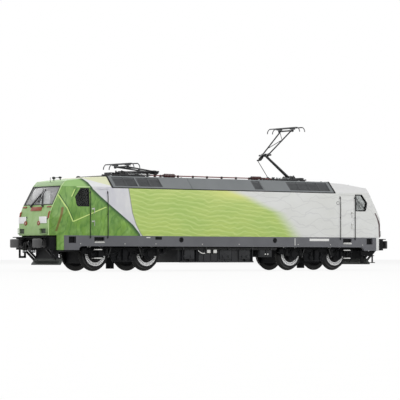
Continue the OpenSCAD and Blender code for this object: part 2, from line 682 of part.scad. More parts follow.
module door_steps(end) above_rail() at_pivot(end) for (s = [-1, 1]) mirror([0, s > 0 ? 0 : 1, 0])
    translate([end * (half_base + 2.8), 0, 0]) {
        for (z = [4.9, 9]) block([-2.3, bogie_width / 2 + 0.6, z], [2.3, 16.6, z + 0.4]);
        for (x = [-2.3, 1.9]) block([x, bogie_width / 2, 4.9], [x + 0.4, bogie_width / 2 + 0.6, 9.4]);
    }

module door_steps_front() color("silver") door_steps(-1);
module door_steps_rear() color("silver") door_steps(1);

// One wheel's half outline: radius from the axle, and Y from its back
module wheel_outline() polygon([[0, 0], [flange_radius - 0.3, 0], [flange_radius, 0.3],
    [flange_radius - 0.3, 0.7],
    [tread_radius + 0.05, 0.8], [tread_radius, wheel_width], [tread_radius - 1.1, wheel_width],
    [tread_radius - 1.25, wheel_width - 0.5], [tread_radius - 3, wheel_width - 0.5],
        [tread_radius - 3.2, wheel_width - 0.2],
    [2.2, wheel_width - 0.2], [2, wheel_width - 0.6], [0, wheel_width - 0.6]]);

module wheelset(x) above_rail() translate([x, 0, axle_height]) {
    both_sides() translate([0, back_to_back / 2, 0]) rotate([-90, 0, 0]) rotate_extrude($fn = 96)
        wheel_outline();
    hub(axle_radius, -bogie_width / 2 + 1.4, bogie_width / 2 - 1.4);
}

module wheelset_1() color("silver") wheelset(-half_pivots - half_base);
module wheelset_2() color("silver") wheelset(-half_pivots + half_base);
module wheelset_3() color("silver") wheelset(half_pivots - half_base);
module wheelset_4() color("silver") wheelset(half_pivots + half_base);

body_shell();
roof_hood();
roof_grilles();
grey_bands();
band_steps();
chassis();
die_cast_weight();
buffer_beams();
tread_plates();
buffers();
drawhooks();
brake_hoses();
snowploughs();
shunter_steps();
windscreens();
side_windows();
headlights();
wipers();
door_handrails();
cab_interiors();
transformer_tank();
equipment_box();
roof_horns();
roof_busbar();
roof_insulators();
pantograph_bases();
bogie_frame_front();
bogie_frame_rear();
gearbox_front();
gearbox_rear();
door_steps_front();
door_steps_rear();
wheelset_1();
wheelset_2();
wheelset_3();
wheelset_4();
lower_arm_front();
lower_arm_rear();
guide_rod_front();
guide_rod_rear();
upper_arm_front();
upper_arm_rear();
collector_head_front();
collector_head_rear();
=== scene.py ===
"""Electric locomotive as a 1:87 scale model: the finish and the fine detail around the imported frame."""

from __future__ import annotations

import json
import logging
import math
from dataclasses import dataclass
from enum import Enum
from typing import Callable, Mapping, Sequence

import bpy
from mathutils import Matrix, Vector

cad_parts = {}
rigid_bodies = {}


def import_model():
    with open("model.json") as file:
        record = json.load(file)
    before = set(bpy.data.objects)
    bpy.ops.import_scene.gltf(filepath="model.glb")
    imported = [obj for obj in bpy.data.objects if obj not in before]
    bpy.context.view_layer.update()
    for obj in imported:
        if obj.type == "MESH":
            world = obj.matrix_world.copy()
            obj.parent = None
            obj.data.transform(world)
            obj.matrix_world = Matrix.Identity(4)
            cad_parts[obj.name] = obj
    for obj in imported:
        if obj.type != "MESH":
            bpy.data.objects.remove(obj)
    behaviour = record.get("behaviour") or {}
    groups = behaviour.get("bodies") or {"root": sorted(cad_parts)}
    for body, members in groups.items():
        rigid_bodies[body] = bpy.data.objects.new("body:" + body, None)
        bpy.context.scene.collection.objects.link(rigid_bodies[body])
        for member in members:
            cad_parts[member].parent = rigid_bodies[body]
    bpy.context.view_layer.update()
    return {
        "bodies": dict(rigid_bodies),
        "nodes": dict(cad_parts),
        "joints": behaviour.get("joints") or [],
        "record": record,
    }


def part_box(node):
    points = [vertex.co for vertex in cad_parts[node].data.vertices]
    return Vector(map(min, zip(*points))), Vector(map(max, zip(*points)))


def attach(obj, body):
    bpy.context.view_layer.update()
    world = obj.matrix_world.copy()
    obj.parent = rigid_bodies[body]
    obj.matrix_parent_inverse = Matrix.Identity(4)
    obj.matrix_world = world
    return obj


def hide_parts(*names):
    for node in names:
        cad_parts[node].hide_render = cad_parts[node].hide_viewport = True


LOG = logging.getLogger("locomotive")

MM = 0.001
RAIL = 1.1
FULL_TURN = 2 * math.pi
Point = tuple[float, float, float]
Flat = tuple[float, float]


class Axis(Enum):
    """The direction in which an outline is drawn out."""

    X = "x"
    Y = "y"
    Z = "z"


class End(Enum):
    """One end of the locomotive, with the sign of its X."""

    FRONT = -1
    REAR = 1

    @property
    def word(self) -> str:
        """The end's name as the frame's nodes and bodies write it."""
        return self.name.lower()


# ---------------------------------------------------------------- modelling by hand


def only(piece: bpy.types.Object) -> None:
    """Leaves just this piece selected and active."""
    bpy.ops.object.select_all(action="DESELECT")
    piece.select_set(True)
    bpy.context.view_layer.objects.active = piece


def settle(piece: bpy.types.Object, name: str) -> bpy.types.Object:
    """Applies a piece's place to its mesh and names both.

    Args:
        piece: the object to settle.
        name: its new name.

    Returns:
        The same object, at the origin.
    """
    only(piece)
    bpy.ops.object.transform_apply(location=True, rotation=True, scale=True)
    piece.name = name
    piece.data.name = name
    return piece


def metres(point: Sequence[float]) -> Vector:
    """A point in millimetres as a vector in metres."""
    return Vector(point) * MM


def block(name: str, low: Point, high: Point) -> bpy.types.Object:
    """A box between two corners in millimetres."""
    bpy.ops.object.select_all(action="DESELECT")
    middle = (metres(low) + metres(high)) / 2
    size = metres(high) - metres(low)
    bpy.ops.mesh.primitive_cube_add(size=1, location=middle, scale=size)
    return settle(bpy.context.object, name)


def rod(name: str, start: Point, end: Point, radius: float, sides: int = 16, tip: float | None = None) -> bpy.types.Object:
    """A round bar between two points.

    Args:
        name: name of the piece.
        start: centre of its first end, in millimetres.
        end: centre of its other end.
        radius: radius at the start.
        sides: number of sides.
        tip: radius at the end, where it tapers.

    Returns:
        The bar.
    """
    bpy.ops.object.select_all(action="DESELECT")
    a, b = metres(start), metres(end)
    turn = (b - a).to_track_quat("Z", "Y").to_euler()
    bpy.ops.mesh.primitive_cone_add(
        vertices=sides,
        radius1=radius * MM,
        radius2=(radius if tip is None else tip) * MM,
        depth=(b - a).length,
        location=(a + b) / 2,
        rotation=turn,
    )
    return settle(bpy.context.object, name)


def chain(name: str, points: Sequence[Point], closed: bool) -> bpy.types.Object:
    """A line of edges, drawn out point by point from one corner of a plane.

    Args:
        name: name of the piece.
        points: the corners in millimetres.
        closed: True to join the last corner to the first and fill the outline.

    Returns:
        The piece, still in object mode.
    """
    bpy.ops.object.select_all(action="DESELECT")
    bpy.ops.mesh.primitive_plane_add(size=MM, location=metres(points[0]))
    piece = settle(bpy.context.object, name)
    bpy.ops.object.mode_set(mode="EDIT")
    bpy.ops.mesh.select_all(action="SELECT")
    bpy.ops.mesh.merge(type="CENTER")
    for here, there in zip(points, points[1:]):
        step = metres(there) - metres(here)
        bpy.ops.mesh.extrude_region_move(TRANSFORM_OT_translate={"value": step})
    bpy.ops.mesh.select_all(action="SELECT")
    if closed:
        bpy.ops.mesh.edge_face_add()
    bpy.ops.object.mode_set(mode="OBJECT")
    return piece


def standing(outline: Sequence[Flat], axis: Axis, height: float) -> list[Point]:
    """Stands a flat outline up square to an axis.

    Args:
        outline: (Y, Z) pairs for X, (X, Z) pairs for Y, (X, Y) pairs for Z.
        axis: the axis that the outline faces.
        height: its place along that axis.

    Returns:
        The outline's corners in space.
    """
    if axis is Axis.X:
        return [(height, a, b) for a, b in outline]
    if axis is Axis.Y:
        return [(a, height, b) for a, b in outline]
    return [(a, b, height) for a, b in outline]


def prism(name: str, outline: Sequence[Flat], axis: Axis, low: float, high: float) -> bpy.types.Object:
    """An outline drawn out along an axis into a solid.

    Args:
        name: name of the piece.
        outline: the corners, in order, in millimetres.
        axis: the direction in which it is drawn out.
        low: where it starts on that axis.
        high: where it ends.

    Returns:
        The closed solid.
    """
    piece = chain(name, standing(outline, axis, low), closed=True)
    step = {Axis.X: (high - low, 0, 0), Axis.Y: (0, high - low, 0), Axis.Z: (0, 0, high - low)}[axis]
    only(piece)
    bpy.ops.object.mode_set(mode="EDIT")
    bpy.ops.mesh.select_all(action="SELECT")
    bpy.ops.mesh.extrude_region_move(TRANSFORM_OT_translate={"value": metres(step)})
    bpy.ops.mesh.select_all(action="SELECT")
    bpy.ops.mesh.normals_make_consistent(inside=False)
    bpy.ops.object.mode_set(mode="OBJECT")
    return piece


def lathe(name: str, outline: Sequence[Flat], centre: Point, axis: Point, steps: int = 32) -> bpy.types.Object:
    """An outline spun once round an axis that runs along X, Y or Z.

    Args:
        name: name of the piece.
        outline: (radius, distance along the axis) pairs in millimetres, from end to end.
        centre: the point on the axis from which the distances run.
        axis: unit direction of the axis.
        steps: number of steps round the turn.

    Returns:
        The turned piece.
    """
    along = Vector(axis)
    out = Vector((0, 0, 1)) if abs(along.z) < 0.5 else Vector((1, 0, 0))
    points = [tuple(Vector(centre) + out * r + along * d) for r, d in outline]
    piece = chain(name, points, closed=False)
    only(piece)
    bpy.ops.object.mode_set(mode="EDIT")
    bpy.ops.mesh.select_all(action="SELECT")
    bpy.ops.mesh.spin(steps=steps, angle=FULL_TURN, center=metres(centre), axis=along)
    bpy.ops.mesh.select_all(action="SELECT")
    bpy.ops.mesh.remove_doubles(threshold=0.002 * MM)
    bpy.ops.mesh.normals_make_consistent(inside=False)
    bpy.ops.object.mode_set(mode="OBJECT")
    return piece


def tube(name: str, points: Sequence[Point], radius: float, sides: int = 3, smooth: bool = True) -> bpy.types.Object:
    """A bent wire, pipe or hose along points.

    Args:
        name: name of the piece.
        points: the route in millimetres.
        radius: the tube's radius.
        sides: the curve's bevel resolution.
        smooth: True to round the bends, False to keep them sharp.

    Returns:
        The tube as a mesh.
    """
    bpy.ops.object.select_all(action="DESELECT")
    bpy.ops.curve.primitive_bezier_curve_add(location=(0, 0, 0))
    piece = bpy.context.object
    curve = piece.data
    spline = curve.splines[0]
    spline.bezier_points.add(len(points) - len(spline.bezier_points))
    for knot, place in zip(spline.bezier_points, points):
        knot.co = metres(place)
        knot.handle_left_type = knot.handle_right_type = "AUTO" if smooth else "VECTOR"
    curve.resolution_u = 6 if smooth else 1
    curve.bevel_depth = radius * MM
    curve.bevel_resolution = sides
    curve.use_fill_caps = True
    only(piece)
    bpy.ops.object.convert(target="MESH")
    return settle(bpy.context.object, name)


def copy_of(piece: bpy.types.Object, name: str, move: Point = (0, 0, 0), flip: Point = (1, 1, 1)) -> bpy.types.Object:
    """A copy with its own mesh, mirrored and moved.

    Args:
        piece: what is copied.
        name: the copy's name.
        move: how far it moves, in millimetres.
        flip: -1 for each axis in which it is mirrored about the origin.

    Returns:
        The copy.
    """
    only(piece)
    bpy.ops.object.duplicate()
    twin = bpy.context.object
    twin.scale = flip
    twin.location = metres(move)
    settle(twin, name)
    if flip[0] * flip[1] * flip[2] < 0:
        bpy.ops.object.mode_set(mode="EDIT")
        bpy.ops.mesh.select_all(action="SELECT")
        bpy.ops.mesh.flip_normals()
        bpy.ops.object.mode_set(mode="OBJECT")
    return twin


def joined(name: str, pieces: Sequence[bpy.types.Object]) -> bpy.types.Object:
    """Joins pieces into one object and names it."""
    only(pieces[0])
    for piece in pieces:
        piece.select_set(True)
    if len(pieces) > 1:
        bpy.ops.object.join()
    return settle(bpy.context.object, name)


def with_copies(name: str, piece: bpy.types.Object, moves: Sequence[Point]) -> bpy.types.Object:
    """A piece joined with a copy of it at each further place."""
    return joined(name, [piece, *(copy_of(piece, f"{name}_copy", move) for move in moves)])


def both_sides(name: str, piece: bpy.types.Object) -> bpy.types.Object:
    """A piece joined with its mirror image across the middle of the locomotive."""
    return joined(name, [piece, copy_of(piece, f"{name}_far", flip=(1, -1, 1))])


def both_ends(name: str, piece: bpy.types.Object) -> bpy.types.Object:
    """A piece joined with its mirror image at the other end."""
    return joined(name, [piece, copy_of(piece, f"{name}_other", flip=(-1, 1, 1))])


def four_corners(name: str, piece: bpy.types.Object) -> bpy.types.Object:
    """A piece repeated at all four corners of the locomotive."""
    return both_ends(name, both_sides(name, piece))


def applied(piece: bpy.types.Object, kind: str, **settings: object) -> bpy.types.Object:
    """Adds a modifier with its settings and applies it."""
    only(piece)
    modifier = piece.modifiers.new(kind.title(), kind)
    for key, value in settings.items():
        setattr(modifier, key, value)
    bpy.ops.object.modifier_apply(modifier=modifier.name)
    return piece


def bevelled(piece: bpy.types.Object, width: float, segments: int = 2, angle: float = 30) -> bpy.types.Object:
    """Rounds a piece's edges that are sharper than an angle, in degrees, by a width in millimetres."""
    return applied(
        piece,
        "BEVEL",
        width=width * MM,
        segments=segments,
        limit_method="ANGLE",
        angle_limit=math.radians(angle),
        use_clamp_overlap=True,
    )


def cut(piece: bpy.types.Object, *cutters: bpy.types.Object) -> bpy.types.Object:
    """Takes each cutter's shape out of a piece, and deletes the cutter."""
    for cutter in cutters:
        applied(piece, "BOOLEAN", operation="DIFFERENCE", solver="EXACT", object=cutter)
        bpy.data.objects.remove(cutter, do_unlink=True)
    return piece


def sliced(piece: bpy.types.Object, place: Sequence[float], normal: Sequence[float]) -> bpy.types.Object:
    """Cuts away what lies beyond a plane and closes the cut.

    Args:
        piece: a closed solid.
        place: a point on the plane, in millimetres.
        normal: the plane's normal, which points to what is cut away.

    Returns:
        The same piece.
    """
    only(piece)
    bpy.ops.object.mode_set(mode="EDIT")
    bpy.ops.mesh.select_all(action="SELECT")
    away = Vector(normal).normalized()
    bpy.ops.mesh.bisect(plane_co=metres(place), plane_no=away, clear_outer=True, threshold=0.0005 * MM)
    bpy.ops.mesh.select_all(action="SELECT")
    # Only open rims are filled, so a plane that meets a face already there adds nothing
    bpy.ops.mesh.fill_holes(sides=0)
    bpy.ops.mesh.select_all(action="SELECT")
    bpy.ops.mesh.normals_make_consistent(inside=False)
    bpy.ops.object.mode_set(mode="OBJECT")
    return piece


def smoothed(piece: bpy.types.Object, angle: float = 32) -> bpy.types.Object:
    """Shades a piece smooth, but sharp at edges past an angle in degrees."""
    only(piece)
    bpy.ops.object.shade_smooth_by_angle(angle=math.radians(angle))
    return piece


def arc(centre: Flat, radius: float, start: float, stop: float, steps: int) -> list[Flat]:
    """Points along an arc, with its angles in degrees."""
    angles = [math.radians(start + (stop - start) * i / steps) for i in range(steps + 1)]
    return [(centre[0] + radius * math.cos(a), centre[1] + radius * math.sin(a)) for a in angles]


def inset(outline: Sequence[Flat], depth: float) -> list[Flat]:
    """A convex outline, anticlockwise, moved inwards all round by a depth."""
    moved = []
    for i, corner in enumerate(outline):
        b = Vector(corner)
        u = (b - Vector(outline[i - 1])).normalized()
        v = (Vector(outline[(i + 1) % len(outline)]) - b).normalized()
        n, m = Vector((-u.y, u.x)), Vector((-v.y, v.x))
        shift = b + (n + m) * (depth / (1 + n.dot(m)))
        moved.append((shift.x, shift.y))
    return moved


def mirrored(half: Sequence[Flat]) -> list[Flat]:
    """An outline's right half closed with its mirror image in the first coordinate."""
    return [*half, *((-a, b) for a, b in reversed(half))]


# ---------------------------------------------------------------- finishes


def linear(code: str) -> tuple[float, float, float, float]:
    """Turns an sRGB hex colour into linear red, green, blue and alpha."""
    channels = [int(code[i : i + 2], 16) / 255 for i in (1, 3, 5)]
    return (*(c / 12.92 if c <= 0.04045 else ((c + 0.055) / 1.055) ** 2.4 for c in channels), 1.0)


def add(tree: bpy.types.NodeTree, kind: str, inputs: Mapping[str | int, object] | None = None, **settings: object) -> bpy.types.ShaderNode:
    """Adds a shader node with its settings, values and links.

    Args:
        tree: the node tree.
        kind: the node's type.
        inputs: a value or an output socket for each input, by name or number.
        settings: the node's own settings.

    Returns:
        The node.
    """
    made = tree.nodes.new(kind)
    for key, value in settings.items():
        setattr(made, key, value)
    for key, value in (inputs or {}).items():
        if isinstance(value, bpy.types.NodeSocket):
            tree.links.new(value, made.inputs[key])
        else:
            made.inputs[key].default_value = value
    return made


def blank_material(name: str) -> tuple[bpy.types.Material, bpy.types.NodeTree, bpy.types.NodeSocket]:
    """A new material, its emptied tree with an output, and a point in millimetres on the piece."""
    material = bpy.data.materials.new(name)
    material.use_nodes = True
    tree = material.node_tree
    tree.nodes.clear()
    place = add(tree, "ShaderNodeTexCoord").outputs["Object"]
    point = add(tree, "ShaderNodeVectorMath", {0: place, "Scale": 1 / MM}, operation="SCALE").outputs[0]
    return material, tree, point


def speckle(tree: bpy.types.NodeTree, point: bpy.types.NodeSocket, size: float, stretch: Point = (1, 1, 1), detail: float = 3) -> bpy.types.NodeSocket:
    """Soft cloudy values from 0 to 1.

    Args:
        tree: the node tree.
        point: the place on the piece, in millimetres.
        size: the size of one cloud, in millimetres.
        stretch: how much longer the clouds are along each axis.
        detail: how much fine detail they hold.

    Returns:
        The socket with the values.
    """
    squeezed = add(tree, "ShaderNodeVectorMath", {0: point, 1: stretch}, operation="DIVIDE").outputs[0]
    noise = add(tree, "ShaderNodeTexNoise", {"Vector": squeezed, "Scale": 1 / size, "Detail": detail})
    spread = {0: noise.outputs["Fac"], "From Min": 0.3, "From Max": 0.7}
    return add(tree, "ShaderNodeMapRange", spread).outputs[0]


def painted(tree: bpy.types.NodeTree, under: object, over: object, cover: object) -> bpy.types.NodeSocket:
    """One colour laid over another where the cover is 1.

    Args:
        tree: the node tree.
        under: the colour below, a socket or a linear colour.
        over: the colour above.
        cover: how much of the upper colour shows, a socket or a number.

    Returns:
        The colour that shows.
    """
    return add(tree, "ShaderNodeMix", {0: cover, 6: under, 7: over}, data_type="RGBA").outputs[2]


@dataclass(frozen=True)
class Finish:
    """A surface by what it is made of, and the texture that its making leaves.

    Sizes of grain and clouds are in millimetres; heights are the depth of the relief. Below its top, a foot
    has a colour of its own, which on the ploughs is painted highlight.
    """

    name: str
    colour: str
    shade: str
    roughness: float
    cloud: float = 6
    grain: float = 0.25
    relief: float = 0.01
    stretch: Point = (1, 1, 1)
    metallic: float = 0
    ior: float = 1.5
    coat: float = 0
    foot: str = ""
    foot_top: float = 0

    def material(self) -> bpy.types.Material:
        """Makes the material, or returns it if it is made."""
        if self.name in bpy.data.materials:
            return bpy.data.materials[self.name]
        material, tree, point = blank_material(self.name)
        clouds = speckle(tree, point, self.cloud, self.stretch)
        fine = speckle(tree, point, self.grain, self.stretch, 2)
        colour = painted(tree, linear(self.colour), linear(self.shade), clouds)
        # A foot colour is painted highlight, as on the ploughs' lower blades
        if self.foot:
            height = add(tree, "ShaderNodeSeparateXYZ", {0: point}).outputs[2]
            below = {0: height, "From Min": self.foot_top + 0.3, "From Max": self.foot_top - 0.3}
            colour = painted(tree, colour, linear(self.foot), add(tree, "ShaderNodeMapRange", below).outputs[0])
        spread = {0: fine, "To Min": max(self.roughness - 0.06, 0.02), "To Max": self.roughness + 0.06}
        gloss = add(tree, "ShaderNodeMapRange", spread).outputs[0]
        bump = add(tree, "ShaderNodeBump", {"Height": fine, "Distance": self.relief * MM, "Strength": 0.8})
        skin = {"Base Color": colour, "Roughness": gloss, "Normal": bump.outputs[0], "Metallic": self.metallic}
        if not self.metallic:
            skin |= {"IOR": self.ior, "Coat Weight": self.coat, "Coat Roughness": 0.12}
        shader = add(tree, "ShaderNodeBsdfPrincipled", skin)
        add(tree, "ShaderNodeOutputMaterial", {"Surface": shader.outputs[0]})
        return material


# Matt spray lacquer on the ABS roof moulding: an even grey with a faint dry grain
ROOF_LACQUER = Finish("roof_lacquer", "#787C7E", "#707476", 0.55, cloud=14, grain=0.3, relief=0.012)
# The grilles are the same moulding, in a darker grey in its louvres
GRILLE_LACQUER = Finish("grille_lacquer", "#57595B", "#4C4E50", 0.6, cloud=5, grain=0.3, relief=0.012)
# Satin lacquer on the sole band
BAND_LACQUER = Finish("band_lacquer", "#5A5B60", "#525358", 0.42, cloud=10, grain=0.3, relief=0.01)
# Self-coloured black polyamide, moulded with a spark-eroded grain that scatters the light
BLACK_POLYAMIDE = Finish("black_polyamide", "#090A0C", "#0F1013", 0.55, cloud=4, grain=0.3, relief=0.03, ior=1.22)
# The ploughs' blades are painted lighter grey below their black stays: painted highlight where the lower blade catches
# the light
PLOUGH_POLYAMIDE = Finish("plough_polyamide", "#090A0C", "#0F1013", 0.45, 4, 0.3, 0.02, ior=1.25, foot="#4B4F4C", foot_top=5.9)
# The tank is the same polyamide with a bluish pigment
TANK_POLYAMIDE = Finish("tank_polyamide", "#17181B", "#1E2023", 0.52, cloud=5, grain=0.3, relief=0.03, ior=1.38)
# Grey polyamide of the equipment box
BOX_POLYAMIDE = Finish("box_polyamide", "#2A2B2D", "#242527", 0.5, cloud=4, grain=0.3, relief=0.02, ior=1.3)
# Acetal buffers, a dark grey that looks waxy
BUFFER_ACETAL = Finish("buffer_acetal", "#373738", "#303031", 0.4, cloud=3, grain=0.35, relief=0.012)
# Zinc casting, sand-coloured grey with the flow marks of the mould
ZINC_CASTING = Finish("zinc_casting", "#8C8D8E", "#7A7B7D", 0.45, cloud=5, grain=0.4, relief=0.03, metallic=1)
# Chemically blackened steel wire and turned parts
BLACKENED_STEEL = Finish("blackened_steel", "#17181A", "#101113", 0.42, cloud=2, grain=0.2, relief=0.01, ior=1.45)
# Blackened brass wheels: dark, with a warm gloss on the rim
BLACKENED_WHEEL = Finish("blackened_wheel", "#0D0D0F", "#131315", 0.4, cloud=3, grain=0.2, relief=0.01, ior=1.25)
# Turned nickel-plated tread, with its fine turning marks round the wheel
NICKEL_TREAD = Finish("nickel_tread", "#2B2B2B", "#222221", 0.3, cloud=4, grain=0.15, relief=0.01, metallic=1)
# The brake discs are printed silver on the wheel's face
DISC_SILVER = Finish("disc_silver", "#F8F8F9", "#EEEFF0", 0.38, cloud=2, grain=0.2, relief=0.01)
# Etched nickel silver steps, bright and a little scratched along their length
NICKEL_SILVER = Finish("nickel_silver", "#C9C9C6", "#B4B4B1", 0.3, cloud=2, grain=0.15, stretch=(4, 1, 1), metallic=1)
# Soft black rubber of the window seals
SEAL_RUBBER = Finish("seal_rubber", "#0D0D0E", "#141415", 0.62, cloud=2, grain=0.2, relief=0.01, ior=1.36)
# Grey styrene of the cab fittings, left as moulded
CAB_STYRENE = Finish("cab_styrene", "#2E3032", "#26282A", 0.5, cloud=6, grain=0.3, relief=0.015)
# Dark red enamel on the busbar wire
BUSBAR_ENAMEL = Finish("busbar_enamel", "#7E2D2B", "#6C2524", 0.35, cloud=2, grain=0.2, relief=0.01, coat=0.3)
# Glazed porcelain insulators, an oxblood brown with a clear gloss
BROWN_GLAZE = Finish("brown_glaze", "#3F1C1B", "#4E2523", 0.22, cloud=1.5, grain=0.3, relief=0.008, coat=0.6)
# Graphite grey lacquer on the pantograph's tubes
PANTOGRAPH_LACQUER = Finish("pantograph_lacquer", "#1A1B1D", "#232426", 0.36, cloud=2, grain=0.2, ior=1.42)
# Bare drawn steel of the collector strips
DRAWN_STEEL = Finish("drawn_steel", "#5E5F60", "#4C4D4F", 0.34, cloud=2, grain=0.2, stretch=(1, 6, 1), metallic=0.8)
# White pad print of the blank plates
WHITE_PRINT = Finish("white_print", "#E4E4E2", "#DADAD8", 0.45, cloud=3, grain=0.3, relief=0.004)
# Red-brown enamel of the small parts under the windscreen
RED_ENAMEL = Finish("red_enamel", "#A04A2C", "#86381E", 0.4, cloud=1.5, grain=0.3, relief=0.006, coat=0.1)
# Ribbed rubber mats in the footholds, dusty grey-green
FOOTHOLD_RUBBER = Finish("foothold_rubber", "#566052", "#4A5347", 0.6, cloud=1.5, grain=0.3, relief=0.02)
# Vacuum-plated reflector behind each lamp
LAMP_REFLECTOR = Finish("lamp_reflector", "#E9E9EA", "#DCDCDE", 0.18, cloud=1, grain=0.3, relief=0.004, metallic=1)
# Steel screws and rivets, zinc-plated
ZINC_PLATE = Finish("zinc_plate", "#A6A8A9", "#949697", 0.33, cloud=1, grain=0.2, relief=0.008, metallic=1)


@dataclass(frozen=True)
class Glazing:
    """Thin injection-moulded styrene glazing: it passes light straight, mirrors by its angle, and hazes a little."""

    name: str
    tint: str
    roughness: float = 0.03
    haze: float = 0.04
    forward: float = 0.5
    mirror: float = 0.04

    def material(self) -> bpy.types.Material:
        """Makes the material, or returns it if it is made."""
        if self.name in bpy.data.materials:
            return bpy.data.materials[self.name]
        material, tree, point = blank_material(self.name)
        ripple = speckle(tree, point, 9, (1, 1, 2), 0)
        bump = add(tree, "ShaderNodeBump", {"Height": ripple, "Distance": 0.01 * MM, "Strength": 0.1}).outputs[0]
        dust = {0: ripple, "To Min": self.roughness, "To Max": self.roughness + 0.05}
        gloss = add(tree, "ShaderNodeMapRange", dust).outputs[0]
        clear = add(tree, "ShaderNodeBsdfTransparent", {"Color": linear(self.tint)})
        back = add(tree, "ShaderNodeBsdfDiffuse", {"Color": linear(self.tint), "Normal": bump})
        through = add(tree, "ShaderNodeBsdfTranslucent", {"Color": linear(self.tint), "Normal": bump})
        dull = add(tree, "ShaderNodeMixShader", {0: self.forward, 1: back.outputs[0], 2: through.outputs[0]})
        body = add(tree, "ShaderNodeMixShader", {0: self.haze, 1: clear.outputs[0], 2: dull.outputs[0]})
        mirror = add(tree, "ShaderNodeBsdfGlossy", {"Roughness": gloss, "Normal": bump})
        # Light leaves the pane at the angle at which it came in, so the reflection is reckoned from the facing angle
        facing = add(tree, "ShaderNodeLayerWeight", {"Blend": 0.5, "Normal": bump}).outputs["Facing"]
        glance = add(tree, "ShaderNodeMath", {0: facing, 1: 5.0}, operation="POWER").outputs[0]
        angle = add(tree, "ShaderNodeMapRange", {0: glance, "To Min": self.mirror, "To Max": 1.0})
        shader = add(tree, "ShaderNodeMixShader", {0: angle.outputs[0], 1: body.outputs[0], 2: mirror.outputs[0]})
        add(tree, "ShaderNodeOutputMaterial", {"Surface": shader.outputs[0]})
        return material


CLEAR_GLAZING = Glazing("clear_glazing", "#F2F5F3", haze=0.01, mirror=0.01)
# The windscreen moulding is greyer, and its thickness clouds what lies behind it
GREY_GLAZING = Glazing("grey_glazing", "#F2F2F3", 0.04, 0.42, 0.35)
LAMP_GLAZING = Glazing("lamp_glazing", "#FEFEFF", 0.06, 0.97, 0.0)
AMBER_GLAZING = Glazing("amber_glazing", "#EAD9C4", 0.1, 0.7, 0.1)


